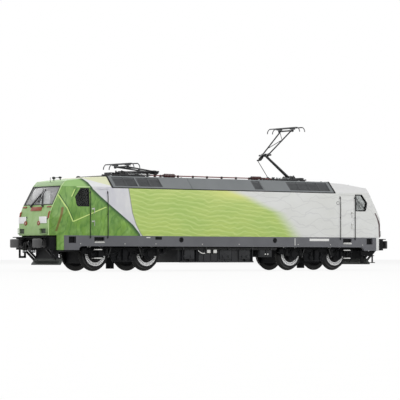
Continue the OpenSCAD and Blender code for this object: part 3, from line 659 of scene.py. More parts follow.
@dataclass(frozen=True)
class Livery:
    """The body's printed paint: satin lacquer over moulded ABS.

    The edges of the colours are given as (X, height above rail) pairs in millimetres, as seen from the side.
    """

    leaf_edge: tuple[Flat, ...] = (
        (-53.7, 15), (-53.8, 16.5), (-54.6, 17.5), (-58.1, 21.2), (-64.5, 25.8), (-71.1, 30.4),
        (-76.4, 34.3), (-81.0, 38.1), (-82.4, 41.2), (-85.5, 43.9), (-88, 46),
    )
    lime_edge: tuple[Flat, ...] = (
        (-51.6, 15), (-53.5, 16.9), (-56.2, 21.3), (-58.4, 26.9), (-59.4, 32), (-60.2, 37.9), (-60.4, 46),
    )
    lime_fade: tuple[Flat, ...] = (
        (43.5, 15), (41.1, 18.5), (36.5, 23.5), (31.8, 28.1), (21, 31.9), (12, 35.8), (4, 38), (0, 46),
    )
    roof_edge: tuple[Flat, ...] = ((-60, 36), (-68.8, 39.5), (-83.7, 43), (-90, 46))
    strokes: tuple[tuple[float, tuple[Flat, ...]], ...] = (
        (0.62, ((-98.5, 35.4), (-96.2, 29.7), (-92.4, 22.4))),
        (1.5, ((-92.4, 22.4), (-73.6, 29.5))),
        (0.45, ((-91.0, 37.8), (-93.0, 34.2))),
    )
    crease: float = 13.2

    def edge(self, tree: bpy.types.NodeTree, height: bpy.types.NodeSocket, line: Sequence[Flat]) -> bpy.types.NodeSocket:
        """The X of a line at each height, as a socket."""
        low, high = line[0][1], line[-1][1]
        left, right = min(x for x, _ in line), max(x for x, _ in line)
        inside = {0: height, "From Min": low, "From Max": high}
        share = add(tree, "ShaderNodeMapRange", inside).outputs[0]
        curve = add(tree, "ShaderNodeFloatCurve", {"Value": share})
        bend = curve.mapping.curves[0]
        knots = [((z - low) / (high - low), (x - left) / (right - left)) for x, z in line]
        bend.points[0].location = knots[0]
        bend.points[1].location = knots[-1]
        for knot in knots[1:-1]:
            bend.points.new(*knot)
        for knot in bend.points:
            knot.handle_type = "VECTOR"
        curve.mapping.update()
        back = {0: curve.outputs[0], "To Min": left, "To Max": right}
        return add(tree, "ShaderNodeMapRange", back).outputs[0]

    def past(self, tree: bpy.types.NodeTree, value: object, limit: object, soft: float) -> bpy.types.NodeSocket:
        """1 where a value is past a limit, with a soft edge of that width."""
        ahead = add(tree, "ShaderNodeMath", {0: value, 1: limit}, operation="SUBTRACT").outputs[0]
        ramp = {0: ahead, "From Min": -soft / 2, "From Max": soft / 2}
        return add(tree, "ShaderNodeMapRange", ramp, interpolation_type="SMOOTHSTEP").outputs[0]

    def near(self, tree: bpy.types.NodeTree, value: object, middle: object, width: float, soft: float) -> bpy.types.NodeSocket:
        """1 where a value is within half a width of a middle value."""
        off = add(tree, "ShaderNodeMath", {0: value, 1: middle}, operation="SUBTRACT").outputs[0]
        gap = add(tree, "ShaderNodeMath", {0: off}, operation="ABSOLUTE").outputs[0]
        ramp = {0: gap, "From Min": width / 2 - soft / 2, "From Max": width / 2 + soft / 2, "To Min": 1.0, "To Max": 0.0}
        return add(tree, "ShaderNodeMapRange", ramp, interpolation_type="SMOOTHSTEP").outputs[0]

    def both(self, tree: bpy.types.NodeTree, *masks: bpy.types.NodeSocket) -> bpy.types.NodeSocket:
        """Where all the masks hold."""
        result = masks[0]
        for mask in masks[1:]:
            result = add(tree, "ShaderNodeMath", {0: result, 1: mask}, operation="MULTIPLY").outputs[0]
        return result

    def stroke(self, tree: bpy.types.NodeTree, x: bpy.types.NodeSocket, z: bpy.types.NodeSocket, width: float, *points: Flat) -> bpy.types.NodeSocket:
        """A painted stroke through points, seen from the side, with its width measured along X."""
        line = sorted(points, key=lambda point: point[1])
        on_line = self.near(tree, x, self.edge(tree, z, line), width, 0.3)
        return self.both(tree, on_line, self.past(tree, z, line[0][1], 0.2), self.past(tree, line[-1][1], z, 0.2))

    def ripples(self, tree: bpy.types.NodeTree, point: bpy.types.NodeSocket, turn: float, pitch: float, thin: float = 0.9, sway: float = 6.0) -> bpy.types.NodeSocket:
        """Thin wandering lines, water-like.

        Args:
            tree: the node tree.
            point: the place on the piece, in millimetres.
            turn: the lines' angle from level, in degrees.
            pitch: their spacing in millimetres.
            thin: how much of the wave is left out of a line, up to 1.
            sway: how far the lines wander.

        Returns:
            1 on a line, 0 between.
        """
        turned = add(tree, "ShaderNodeMapping", {"Vector": point, "Rotation": (0, math.radians(turn), 0)}).outputs[0]
        # The wave repeats every 2 pi / 20 units of its scaled input, and sways every 10 mm or so
        scale = math.pi / 10 / pitch
        wave = {"Vector": turned, "Scale": scale, "Distortion": sway, "Detail": 2.0, "Detail Scale": 0.09 / scale}
        lines = add(tree, "ShaderNodeTexWave", wave, bands_direction="Z").outputs["Fac"]
        ramp = {0: lines, "From Min": thin, "From Max": 1.0}
        return add(tree, "ShaderNodeMapRange", ramp, interpolation_type="SMOOTHSTEP").outputs[0]

    def times(self, tree: bpy.types.NodeTree, value: bpy.types.NodeSocket, factor: float) -> bpy.types.NodeSocket:
        """A value scaled by a number."""
        return add(tree, "ShaderNodeMath", {0: value, 1: factor}, operation="MULTIPLY").outputs[0]

    def leaf(
        self, tree: bpy.types.NodeTree, point: bpy.types.NodeSocket, x: bpy.types.NodeSocket, z: bpy.types.NodeSocket,
        width: bpy.types.NodeSocket, roof: bpy.types.NodeSocket, low_high: bpy.types.NodeSocket,
    ) -> bpy.types.NodeSocket:
        """The leaf greens of the front end: a mottled side, fine pale strokes, a paler nose between the creases and
        painted highlights.

        Args:
            tree: the node tree.
            point: the place on the piece, in millimetres.
            x: its X.
            z: its height above the rail.
            width: its distance from the middle.
            roof: 1 on the roof.
            low_high: 0 at the foot of the side, 1 at its head.

        Returns:
            The colour.
        """
        mottle = speckle(tree, point, 3.2, (1, 1, 1.5), 8)
        patches = speckle(tree, point, 8, (1, 1, 1.6), 4)
        leaf = painted(tree, linear("#62873C"), linear("#84AD58"), low_high)
        leaf = painted(tree, leaf, linear("#40722B"), self.both(tree, mottle, patches))
        bright = self.both(tree, speckle(tree, point, 4.5, (1, 1, 2), 6), self.past(tree, 26.0, z, 9.0))
        leaf = painted(tree, leaf, linear("#7FAB36"), self.times(tree, bright, 0.7))
        flecks = self.both(tree, speckle(tree, point, 1.5, (1, 1, 1.6), 6), speckle(tree, point, 5, (1, 1, 2), 3))
        leaf = painted(tree, leaf, linear("#A2C878"), self.times(tree, flecks, 0.6))
        smudges = self.both(tree, speckle(tree, point, 1.1, (1, 1, 2), 6), speckle(tree, point, 6, (1.4, 1, 1), 3))
        leaf = painted(tree, leaf, linear("#335F28"), self.times(tree, smudges, 0.55))
        tuft = self.ripples(tree, point, 68, 3.6, 0.8, 14.0)
        leaf = painted(tree, leaf, linear("#3C6F2C"), self.times(tree, tuft, 0.35))
        leaf = painted(tree, leaf, linear("#98BF78"), roof)
        brink = self.edge(tree, z, self.leaf_edge)
        shadow = self.past(tree, x, add(tree, "ShaderNodeMath", {0: brink, 1: 1.9}, operation="SUBTRACT").outputs[0], 3.2)
        leaf = painted(tree, leaf, linear("#2B4F2B"), shadow)
        shifted = add(tree, "ShaderNodeMath", {0: x, 1: 0.55}, operation="SUBTRACT").outputs[0]
        for span, line in self.strokes:
            leaf = painted(tree, leaf, linear("#2F5B2A"), self.stroke(tree, shifted, z, 0.8 * span, *line))
            leaf = painted(tree, leaf, linear("#C2D980"), self.stroke(tree, x, z, span, *line))
        # A pale line along the drip rail over the door window is painted highlight
        gutter_highlight = self.both(tree, self.near(tree, z, 38.95, 0.45, 0.2), self.near(tree, x, -86.2, 7.6, 0.3))
        leaf = painted(tree, leaf, linear("#BCD49E"), gutter_highlight)
        rust = painted(tree, linear("#66602E"), linear("#8A4B22"), low_high)
        brush = self.stroke(tree, x, z, 1.0, (-97.5, 29.2), (-101.0, 17.8))
        leaf = painted(tree, leaf, rust, self.times(tree, brush, 0.85))
        # The crease that bounds the nose leans in as it rises
        rise = {0: z, "From Min": 29.8, "From Max": 39.8, "To Min": self.crease, "To Max": self.crease - 0.45}
        crease = add(tree, "ShaderNodeMapRange", rise).outputs[0]
        ahead = self.past(tree, -92.0, x, 3.0)
        nose = self.both(tree, self.past(tree, crease, width, 0.25), self.past(tree, -94.0, x, 0.6))
        pale = painted(tree, linear("#97BC77"), linear("#A9C78D"), mottle)
        pale = painted(tree, pale, linear("#86AA6B"), roof)
        leaf = painted(tree, leaf, pale, nose)
        # A pale line along each crease of the nose is painted highlight on its edge
        return painted(tree, leaf, linear("#CBE3A6"), self.both(tree, self.near(tree, width, crease, 0.3, 0.25), ahead))

    def material(self) -> bpy.types.Material:
        """Makes the paint: greys, then lime, then the white band, then the leaf greens and their fine strokes."""
        material, tree, point = blank_material("printed_satin_lacquer")
        parts = add(tree, "ShaderNodeSeparateXYZ", {0: point}).outputs
        x, y = parts[0], parts[1]
        z = add(tree, "ShaderNodeMath", {0: parts[2], 1: RAIL}, operation="SUBTRACT").outputs[0]
        clouds = speckle(tree, point, 9, (2, 1, 1))
        fine_clouds = speckle(tree, point, 2.4, (1, 1, 1.2), 6)
        width = add(tree, "ShaderNodeMath", {0: y}, operation="ABSOLUTE").outputs[0]
        roof = self.past(tree, z, 39.2, 0.4)
        wall = self.past(tree, 39.2, z, 0.4)
        low_high = add(tree, "ShaderNodeMapRange", {0: z, "From Min": 17.0, "From Max": 38.0}).outputs[0]

        lines_up = self.ripples(tree, point, 12, 5.2, 0.96)
        lines_down = self.ripples(tree, point, -15, 6.4, 0.96)
        crossing = add(tree, "ShaderNodeMath", {0: lines_up, 1: lines_down}, operation="MAXIMUM").outputs[0]
        grey = painted(tree, linear("#DADBDA"), linear("#D2D3D0"), clouds)
        grey = painted(tree, grey, linear("#B9B9BB"), self.both(tree, self.times(tree, crossing, 0.32), wall))
        colour = painted(tree, grey, linear("#DDDDDD"), roof)

        lime = painted(tree, linear("#AFC568"), linear("#BBCB78"), low_high)
        lime = painted(tree, lime, linear("#A4BF68"), clouds)
        level, counter = self.ripples(tree, point, 3, 1.7, 0.45, 9.0), self.ripples(tree, point, -5, 2.3, 0.6, 9.0)
        lime = painted(tree, lime, linear("#97B65C"), self.times(tree, level, 0.34))
        lime = painted(tree, lime, linear("#D0DD96"), self.times(tree, counter, 0.36))
        pale_top = self.past(tree, z, 34.8, 5.0)
        to_yellow = self.past(tree, x, -8.0, 30.0)
        lime = painted(tree, lime, linear("#D6DA86"), self.both(tree, pale_top, to_yellow))
        after_edge = self.past(tree, x, self.edge(tree, z, self.lime_edge), 0.3)
        fade = self.past(tree, self.edge(tree, z, self.lime_fade), x, 13.0)
        colour = painted(tree, colour, lime, self.both(tree, after_edge, fade, wall))

        lilac = painted(tree, linear("#D6D6D8"), linear("#C4C4CC"), speckle(tree, point, 5, (1, 1, 2)))
        cab_white = painted(tree, lilac, linear("#E6E7E8"), roof)
        over_roof = self.past(tree, x, self.edge(tree, z, self.roof_edge), 0.3)
        cab_white = painted(tree, cab_white, linear("#E2E5C2"), self.both(tree, over_roof, roof))
        before_lime = self.past(tree, self.edge(tree, z, self.lime_edge), x, 0.3)
        colour = painted(tree, colour, cab_white, before_lime)
        grey_line = self.near(tree, x, self.edge(tree, z, self.lime_edge), 0.5, 0.3)
        colour = painted(tree, colour, linear("#8E9285"), self.both(tree, grey_line, wall))

        colour = painted(tree, colour, self.leaf(tree, point, x, z, width, roof, low_high), self.past(tree, self.edge(tree, z, self.leaf_edge), x, 0.3))
        chamfer = self.stroke(tree, x, z, 1.9, (97.9, 28.8), (100.9, 22.5), (101.4, 16.0))
        colour = painted(tree, colour, linear("#38171D"), chamfer)

        # Inside its walls the moulding is painted near black: painted shade for the dark cabs and window reveals
        reach = add(tree, "ShaderNodeMapRange", {0: z, "From Min": 38.7, "From Max": 41.2, "To Min": 16.2, "To Max": 14.0}).outputs[0]
        length = add(tree, "ShaderNodeMath", {0: x}, operation="ABSOLUTE").outputs[0]
        even = add(tree, "ShaderNodeVectorMath", {0: point}, operation="ABSOLUTE").outputs[0]
        slant = add(tree, "ShaderNodeVectorMath", {0: even, 1: (0.4766, 0.8255, 0.3023)}, operation="DOT_PRODUCT").outputs["Value"]
        inside = self.both(tree, self.past(tree, reach, width, 0.1), self.past(tree, 93.5, length, 0.5), self.past(tree, 41.3, z, 0.1), self.past(tree, 67.9, slant, 0.1))
        colour = painted(tree, colour, linear("#17191A"), inside)

        orange_peel = speckle(tree, point, 0.5, detail=2)
        bump = add(tree, "ShaderNodeBump", {"Height": orange_peel, "Distance": 0.006 * MM, "Strength": 0.7})
        gloss = add(tree, "ShaderNodeMapRange", {0: clouds, "To Min": 0.36, "To Max": 0.44}).outputs[0]
        skin = {"Base Color": colour, "Roughness": gloss, "Normal": bump.outputs[0], "IOR": 1.36}
        shader = add(tree, "ShaderNodeBsdfPrincipled", skin)
        add(tree, "ShaderNodeOutputMaterial", {"Surface": shader.outputs[0]})
        return material


# ---------------------------------------------------------------- the frame


@dataclass(frozen=True)
class Fixing:
    """Where a piece belongs: its body, a material slot's name, which is not used, and the nodes it replaces."""

    body: str
    slot: str
    nodes: tuple[str, ...] = ()


LOCOMOTIVE = "locomotive"
HALF_BUFFERS = 108.6


def dress(piece: bpy.types.Object, surface: bpy.types.Material, fixing: Fixing, angle: float = 32) -> bpy.types.Object:
    """Gives a piece its surface and its place in the frame, and reports it.

    Args:
        piece: the finished mesh.
        surface: its material.
        fixing: its body, slot and nodes.
        angle: the sharpest edge, in degrees, that is shaded smooth.

    Returns:
        The same piece.
    """
    smoothed(piece, angle)
    piece.data.materials.clear()
    piece.data.materials.append(surface)
    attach(piece, fixing.body)
    if fixing.nodes:
        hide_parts(*fixing.nodes)
    LOG.info("%s: %d faces on %s", piece.name, len(piece.data.polygons), fixing.body)
    return piece


@dataclass(frozen=True)
class Extent:
    """A node's box in millimetres, with heights above the rail."""

    low: Vector
    high: Vector

    @classmethod
    def of(cls, node: str) -> "Extent":
        """The box of one of the frame's nodes."""
        low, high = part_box(node)
        drop = Vector((0, 0, RAIL))
        return cls(Vector(low) / MM - drop, Vector(high) / MM - drop)


# ---------------------------------------------------------------- body


@dataclass
class BodyShell:
    """The printed body with its two cabs: walls, roof ends, window openings, door joints and lamp pockets."""

    livery: bpy.types.Material
    foot: float = 15.9
    eaves: float = 38.7
    deck: float = 44.8
    wall: float = 1.2
    half_hood: float = 70.0
    bulkhead: float = 1.2
    skirt_foot: float = 9.0
    beam_half: float = 15.0
    door: tuple[float, float] = (72.6, 82.6)
    door_top: float = 37.8
    door_joint: float = 0.25
    joint_depth: float = 0.15
    glass_foot: float = 30.6
    glass_head: float = 39.2
    glass_half: float = 12.6
    lamp: tuple[float, float, float, float] = (9.1, 23.2, 6.2, 3.3)
    half_length: float = 0.0
    half_width: float = 0.0
    half_side: float = 97.5

    def __post_init__(self) -> None:
        """Takes the body's length and width from the frame."""
        extent = Extent.of("body_shell")
        self.half_length = extent.high.x
        self.half_width = extent.high.y

    @property
    def rake(self) -> tuple[Flat, Flat]:
        """Foot and head of the raked windscreen plane, in X and Z."""
        return (self.half_length - 3, 29.8), (self.half_length - 8.5, self.eaves + 1.1)

    def outlines(self) -> tuple[list[Flat], list[Flat], list[Flat]]:
        """The body as seen from the side, from above and from the end."""
        end, side, top = self.half_length, self.half_width, self.deck - 0.5
        nose = [(end, 0), (end, 20.5), *self.rake, (end - 10.8, top - 2.4), (end - 26, top - 0.3), (end - 33, top)]
        near = [(self.half_side, -side), (self.half_side + 4.4, 1.9 - side), (end - 0.8, 4.1 - side), (end, 9 - side)]
        plan = [*near, *((x, -y) for x, y in reversed(near))]
        section = [(side, 0), (side, 33), (side - 0.5, self.eaves), (side - 5.9, self.deck)]
        return mirrored(nose), mirrored(plan), mirrored(section)

    def form(self, name: str, depth: float) -> bpy.types.Object:
        """The body's whole form, its skin moved inwards by a depth."""
        piece = block(name, (-self.half_length, -self.half_width, RAIL - 2), (self.half_length, self.half_width, self.deck + RAIL))
        for outline, axis in zip(self.outlines(), (Axis.Y, Axis.Z, Axis.X)):
            moved = inset(outline, depth)
            for (a, b), (c, d) in zip(moved, [*moved[1:], moved[0]]):
                away = (d - b, a - c)
                if axis is Axis.Y:
                    place, normal = (a, 0, b + RAIL), (away[0], 0, away[1])
                elif axis is Axis.Z:
                    place, normal = (a, b, 0), (*away, 0)
                else:
                    place, normal = (0, a, b + RAIL), (0, *away)
                sliced(piece, place, normal)
        for sign in (-1, 1):
            for hand in (-1, 1):
                normal = Vector((sign * 0.4766, hand * 0.8255, 0.3023))
                place = Vector((sign * (self.half_length - 3), hand * (self.half_width - 3.8), 29.8 + RAIL))
                sliced(piece, place - normal * depth, normal)
        return piece

    def cavity(self) -> list[bpy.types.Object]:
        """The hollow inside the walls, in three parts between the bulkheads."""
        inner = self.form("cavity", self.wall)
        cab = copy_of(inner, "cavity_cab")
        sliced(inner, (self.half_hood, 0, 0), (1, 0, 0))
        sliced(inner, (-self.half_hood, 0, 0), (-1, 0, 0))
        sliced(cab, (self.half_hood + self.bulkhead, 0, 0), (-1, 0, 0))
        nose = block("nose_block", (self.half_length - 4.1, -30, -5), (self.half_length + 1, 30, 28.5 + RAIL))
        cut(cab, nose)
        return [inner, cab, copy_of(cab, "cavity_other_cab", flip=(-1, 1, 1))]

    def window_outline(self, grow: float = 0.0) -> list[Flat]:
        """A cab side window at the rear end, seen from the side, grown all round."""
        x, z = self.door[1] + 1, 30.0
        outline = [(x, z), (x + 6.0, z), (x + 6.6, z + 0.8), (x + 7.3, z + 4), (x + 4.2, z + 8), (x, z + 8)]
        return inset(outline, -grow) if grow else outline

    def screen_outline(self, grow: float = 0.0) -> list[Flat]:
        """The windscreen, seen from the end, grown all round."""
        half, low, high = self.glass_half, self.glass_foot, self.glass_head
        outline = [(half, low), (half - 0.6, high), (0.6 - half, high), (-half, low)]
        return inset(outline, -grow) if grow else outline

    def raised(self, outline: Sequence[Flat]) -> list[Flat]:
        """An outline with its heights turned from above rail to above floor."""
        return [(a, b + RAIL) for a, b in outline]

    def openings(self) -> list[bpy.types.Object]:
        """Cutters for the foot, the hood's opening, windows, lamps, steps and door joints."""
        end, side, foot = self.half_length, self.half_width, self.foot + RAIL
        far = side + 3
        tools = [
            block("cut_foot", (-self.half_side, -far, -5), (self.half_side, far, foot)),
            block("cut_below", (-end - 1, -far, -5), (end + 1, far, self.skirt_foot + RAIL)),
            block("cut_hood", (-self.half_hood, -far, self.eaves + RAIL), (self.half_hood, far, self.deck + 9)),
        ]
        pairs = [
            block("cut_beam", (self.half_side - 1, -self.beam_half, -5), (end + 1, self.beam_half, foot)),
            block("cut_corner", (self.half_side + 3, -far, -5), (end + 1, far, foot)),
            prism("cut_screen", self.raised(self.screen_outline()), Axis.X, end - 16, end + 1),
            prism("cut_window", self.raised(self.window_outline()), Axis.Y, -far, far),
        ]
        y, z, width, height = self.lamp
        low_step = self.foot + 0.8 + RAIL
        for sign in (-1, 1):
            pairs.append(block("cut_lamp", (end - 4, sign * y - width / 2, z - height / 2 + RAIL), (end + 1, sign * y + width / 2, z + height / 2 + RAIL)))
            pairs.append(block("cut_foothold", (end - 1.4, sign * 9.65 - 2.85, low_step), (end + 1, sign * 9.65 + 2.85, low_step + 2.5)))
            inner, outer = sorted((sign * (side - self.joint_depth), sign * far))
            for x in self.door:
                pairs.append(block("cut_joint", (x, inner, foot - 1), (x + self.door_joint, outer, self.door_top + RAIL)))
            inner, outer = sorted((sign * (side - 0.5 - self.joint_depth), sign * far))
            pairs.append(block("cut_joint_top", (self.door[0], inner, self.door_top + RAIL), (self.door[1] + self.door_joint, outer, self.door_top + self.door_joint + RAIL)))
        return [*tools, *pairs, *(copy_of(tool, f"{tool.name}_other", flip=(-1, 1, 1)) for tool in pairs)]

    def build(self) -> None:
        """Builds and dresses the shell, its seals and its small fittings."""
        shell = bevelled(self.form("body_paint", 0), 0.5, 3, 12)
        cut(shell, *self.cavity(), *self.openings())
        dress(shell, self.livery, Fixing(LOCOMOTIVE, "livery_paint", ("body_shell",)), 18)
        self.seals()
        self.glass()
        self.handles()

    def side_plane(self, proud: float) -> tuple[Point, Point]:
        """A place and outward normal of the leaning upper side wall, moved out by a distance."""
        lean = Vector((0, self.eaves - 33, 0.5)).normalized()
        place = Vector((0, self.half_width, 33 + RAIL)) + lean * proud
        return tuple(place), tuple(lean)

    def rake_plane(self, proud: float) -> tuple[Point, Point]:
        """A place and outward normal of the windscreen plane, moved out by a distance."""
        (foot_x, foot_z), (head_x, head_z) = self.rake
        lean = Vector((head_z - foot_z, 0, foot_x - head_x)).normalized()
        place = Vector((foot_x, 0, foot_z + RAIL)) + lean * proud
        return tuple(place), tuple(lean)

    def ring(self, name: str, outline: Callable[[float], list[Flat]], axis: Axis, span: Flat, width: float, *planes: tuple[Point, Point]) -> bpy.types.Object:
        """A seal round an opening, cut back to planes, of which the first is just proud of the skin."""
        ring = prism(name, self.raised(outline(width)), axis, *span)
        for plane in planes:
            sliced(ring, *plane)
        cut(ring, prism("cut_ring", self.raised(outline(-0.14)), axis, span[0] - 1, span[1] + 1))
        return bevelled(ring, 0.08, 2)

    def seals(self) -> None:
        """Rubber seals of the windscreens and the cab side windows."""
        end, side = self.half_length, self.half_width
        behind, lean = self.rake_plane(-1.0)
        back = (behind, tuple(-value for value in lean))
        screen = self.ring("windscreen_seals", self.screen_outline, Axis.X, (end - 12, end), 0.24, self.rake_plane(0.1), back)
        dress(both_ends("windscreen_seals", screen), SEAL_RUBBER.material(), Fixing(LOCOMOTIVE, "black_trim"))
        window = self.ring("side_window_seals", self.window_outline, Axis.Y, (side - 1.5, side + 0.08), 0.4, self.side_plane(0.08))
        dress(four_corners("side_window_seals", window), SEAL_RUBBER.material(), Fixing(LOCOMOTIVE, "black_trim"))

    def glass(self) -> None:
        """Clear panes, set in the openings a little behind the skin."""
        end, side = self.half_length, self.half_width
        pane = prism("windscreen_glass", self.raised(self.screen_outline(-0.05)), Axis.X, end - 14, end)
        outer, lean = self.rake_plane(-0.12)
        inner, _ = self.rake_plane(-0.85)
        sliced(sliced(pane, outer, lean), inner, tuple(-value for value in lean))
        glass = CLEAR_GLAZING.material()
        dress(both_ends("windscreen_glass", bevelled(pane, 0.06)), GREY_GLAZING.material(), Fixing(LOCOMOTIVE, "tinted_glass", ("windscreens",)))
        light = prism("side_window_glass", self.raised(self.window_outline(-0.05)), Axis.Y, side - 1.15, side)
        sliced(light, *self.side_plane(-0.15))
        dress(four_corners("side_window_glass", bevelled(light, 0.06)), glass, Fixing(LOCOMOTIVE, "tinted_glass", ("side_windows",)))

    def handles(self) -> None:
        """Bright door handles, step grips beside the doors and the printed ring on the rear side."""
        side = self.half_width
        pieces = []
        for low, high in ((20.4, 23.2), (26.4, 29.2)):
            x = self.door[1] - 2.1
            points = [(x, side - 0.05, low + RAIL), (x, side + 0.35, low + 0.2 + RAIL), (x, side + 0.35, high - 0.2 + RAIL), (x, side - 0.05, high + RAIL)]
            pieces.append(tube("handle", points, 0.14, smooth=False))
            pieces.append(bevelled(block("handle_plate", (x - 0.35, side - 0.05, high - 0.9 + RAIL), (x + 1.3, side + 0.08, high - 0.3 + RAIL)), 0.05))
        dress(four_corners("door_handles", joined("door_handles", pieces)), NICKEL_SILVER.material(), Fixing(LOCOMOTIVE, "bright_steps"))
        circle = arc((0, 0), 1.0, 0, 360, 24)[:-1]
        outline = [(71.2 + a, 33.7 + b + RAIL) for a, b in circle]
        ring = prism("filler_ring", outline, Axis.Y, side - 0.2, side + 0.05)
        hole = prism("cut_filler", [(71.2 + 0.8 * a, 33.7 + 0.8 * b + RAIL) for a, b in circle], Axis.Y, side - 1, side + 1)
        plane, lean = self.side_plane(0.05)
        dress(both_sides("filler_rings", sliced(cut(ring, hole), plane, lean)), BAND_LACQUER.material(), Fixing(LOCOMOTIVE, "black_trim"))


# ---------------------------------------------------------------- roof


@dataclass
class RoofHood:
    """The grey hood between the cabs with its louvred grilles, seams and hatches."""

    eaves: float = 38.7
    deck: float = 44.8
    lip: float = 0.4
    wall: float = 1.0
    seams: tuple[float, float] = (-22.0, 23.4)
    grilles: tuple[Flat, ...] = ((-67.4, -54.0), (-53.4, -39.4), (17.6, 23.1), (40.4, 67.4))
    grille_low: float = 0.9
    grille_high: float = 0.8
    grille_depth: float = 0.4
    louvre_pitch: float = 0.78
    half_length: float = 0.0
    half_foot: float = 0.0
    half_top: float = 0.0

    def __post_init__(self) -> None:
        """Takes the hood's length and width from the frame."""
        extent = Extent.of("roof_hood")
        self.half_length = extent.high.x
        self.half_foot = extent.high.y
        self.half_top = self.half_foot - 5.25

    def slope(self, x: float, out: float, up: float) -> Point:
        """A point on the hood's flank: along X, out from the skin, and up the slope from its foot."""
        foot = Vector((self.half_foot, self.eaves + self.lip))
        run = Vector((self.half_top, self.deck)) - foot
        along = run.normalized()
        outwards = Vector((along.y, -along.x))
        place = foot + along * up + outwards * out
        return (x, place.x, place.y + RAIL)

    @property
    def slope_length(self) -> float:
        """Length of the flank from its foot to the deck."""
        return math.hypot(self.half_foot - self.half_top, self.deck - self.eaves - self.lip)

    def plate(self, name: str, x: Flat, out: Flat, up: Flat, rise: float = 0.0) -> bpy.types.Object:
        """A plate lying on the flank; rise lifts its lower edge out from the skin, as a louvre's."""
        corners = [self.slope(x[0], out[0], up[0]), self.slope(x[0], out[1] + rise, up[0]), self.slope(x[0], out[1], up[1]), self.slope(x[0], out[0], up[1])]
        piece = chain(name, corners, closed=True)
        only(piece)
        bpy.ops.object.mode_set(mode="EDIT")
        bpy.ops.mesh.select_all(action="SELECT")
        bpy.ops.mesh.extrude_region_move(TRANSFORM_OT_translate={"value": (MM * (x[1] - x[0]), 0, 0)})
        bpy.ops.mesh.select_all(action="SELECT")
        bpy.ops.mesh.normals_make_consistent(inside=False)
        bpy.ops.object.mode_set(mode="OBJECT")
        return piece

    def build(self) -> None:
        """Builds the hood, its grilles, its black edges and the hatches on its deck."""
        half, foot = self.half_length, self.half_foot
        outline = [(foot, self.eaves + RAIL), (foot, self.eaves + self.lip + RAIL), (self.half_top, self.deck + RAIL)]
        hood = bevelled(prism("hood", mirrored(outline), Axis.X, -half, half), 0.3, 3, 12)
        under = [(foot, self.eaves - 2 + RAIL), (foot, self.eaves + self.lip + RAIL), (self.half_top, self.deck + RAIL)]
        cut(hood, prism("cut_hood", inset(mirrored(under), self.wall), Axis.X, 1.2 - half, half - 1.2))
        tools = []
        for start, stop in self.grilles:
            tools.append(self.plate("cut_grille", (start, stop), (-self.grille_depth, 1.5), (self.grille_low, self.slope_length - self.grille_high)))
        for seam in self.seams:
            tools.append(self.plate("cut_seam", (seam, seam + 0.22), (-0.18, 1.5), (-1, self.slope_length + 1)))
        cut(hood, *tools, *(copy_of(tool, f"{tool.name}_far", flip=(1, -1, 1)) for tool in tools))
        for seam in self.seams:
            cut(hood, block("cut_top_seam", (seam, -foot, self.deck - 0.15 + RAIL), (seam + 0.22, foot, self.deck + 3)))
        dress(hood, ROOF_LACQUER.material(), Fixing(LOCOMOTIVE, "roof_paint", ("roof_hood",)))
        self.louvres()
        self.edges()
        self.deck_details()

    def louvres(self) -> None:
        """Rows of slanted slats between upright ribs, in each grille."""
        pieces = []
        top = self.slope_length - self.grille_high
        for start, stop in self.grilles:
            pieces.append(self.plate("backing", (start + 0.06, stop - 0.06), (0.05 - self.grille_depth, 0.12 - self.grille_depth), (self.grille_low + 0.06, top - 0.06)))
            rows = int((top - self.grille_low) / self.louvre_pitch)
            for row in range(rows):
                low = self.grille_low + 0.1 + row * self.louvre_pitch
                pieces.append(self.plate("slat", (start + 0.06, stop - 0.06), (0.1 - self.grille_depth, -0.28), (low, low + 0.55), 0.22))
            panels = max(round((stop - start) / 6.75), 1)
            for rib in range(panels + 1):
                x = start + 0.06 + (stop - start - 0.5) * rib / panels
                pieces.append(self.plate("rib", (x, x + 0.38), (0.1 - self.grille_depth, 0.0), (self.grille_low + 0.06, top - 0.06)))
        grille = both_sides("roof_louvres", joined("roof_louvres", pieces))
        dress(grille, GRILLE_LACQUER.material(), Fixing(LOCOMOTIVE, "grille_paint", ("roof_grilles",)))

    def edges(self) -> None:
        """The black seal under the hood's foot and round its ends."""
        half, foot = self.half_length, self.half_foot
        low, high = self.eaves - 0.02 + RAIL, self.eaves + 0.42 + RAIL
        seal = bevelled(block("hood_seal", (-half, foot - 0.3, low), (half, foot + 0.1, high)), 0.05)
        rims = []
        for sign in (-1, 1):
            start, stop = sorted((sign * (half - 0.8), sign * half))
            rims.append(self.plate("hood_rim", (start, stop), (-0.3, 0.14), (-0.2, self.slope_length - 0.1)))
            rims.append(bevelled(block("hood_top_rim", (start, -0.1, self.deck - 0.3 + RAIL), (stop, self.half_top, self.deck + 0.14 + RAIL)), 0.05))
        dress(both_sides("hood_seals", joined("hood_seals", [seal, *rims])), SEAL_RUBBER.material(), Fixing(LOCOMOTIVE, "black_trim"))

    def deck_details(self) -> None:
        """Low hatches and lifting eyes on the deck, where only the roof view shows them."""
        deck = self.deck + RAIL
        hatches = []
        for start, stop in ((-20, -8), (-7, 5), (6, 17), (26, 34)):
            hatches.append(bevelled(block("hatch", (start, -1.6, deck - 0.1), (stop, 9.4, deck + 0.35)), 0.15))
            hatches.append(bevelled(block("hatch_rib", (start + 1, -0.4, deck + 0.3), (stop - 1, 8.2, deck + 0.5)), 0.1))
        dress(joined("roof_hatches", hatches), ROOF_LACQUER.material(), Fixing(LOCOMOTIVE, "roof_paint"))
        eyes = []
        for x in (-66, -24, 25, 66):
            for y in (-9.6, 10.2):
                eyes.append(lathe("eye", [(0, 0), (0.5, 0), (0.5, 0.25), (0.3, 0.4), (0, 0.4)], (x, y, deck - 0.05), (0, 0, 1), 12))
        dress(joined("roof_screws", eyes), ZINC_PLATE.material(), Fixing(LOCOMOTIVE, "roof_paint"))


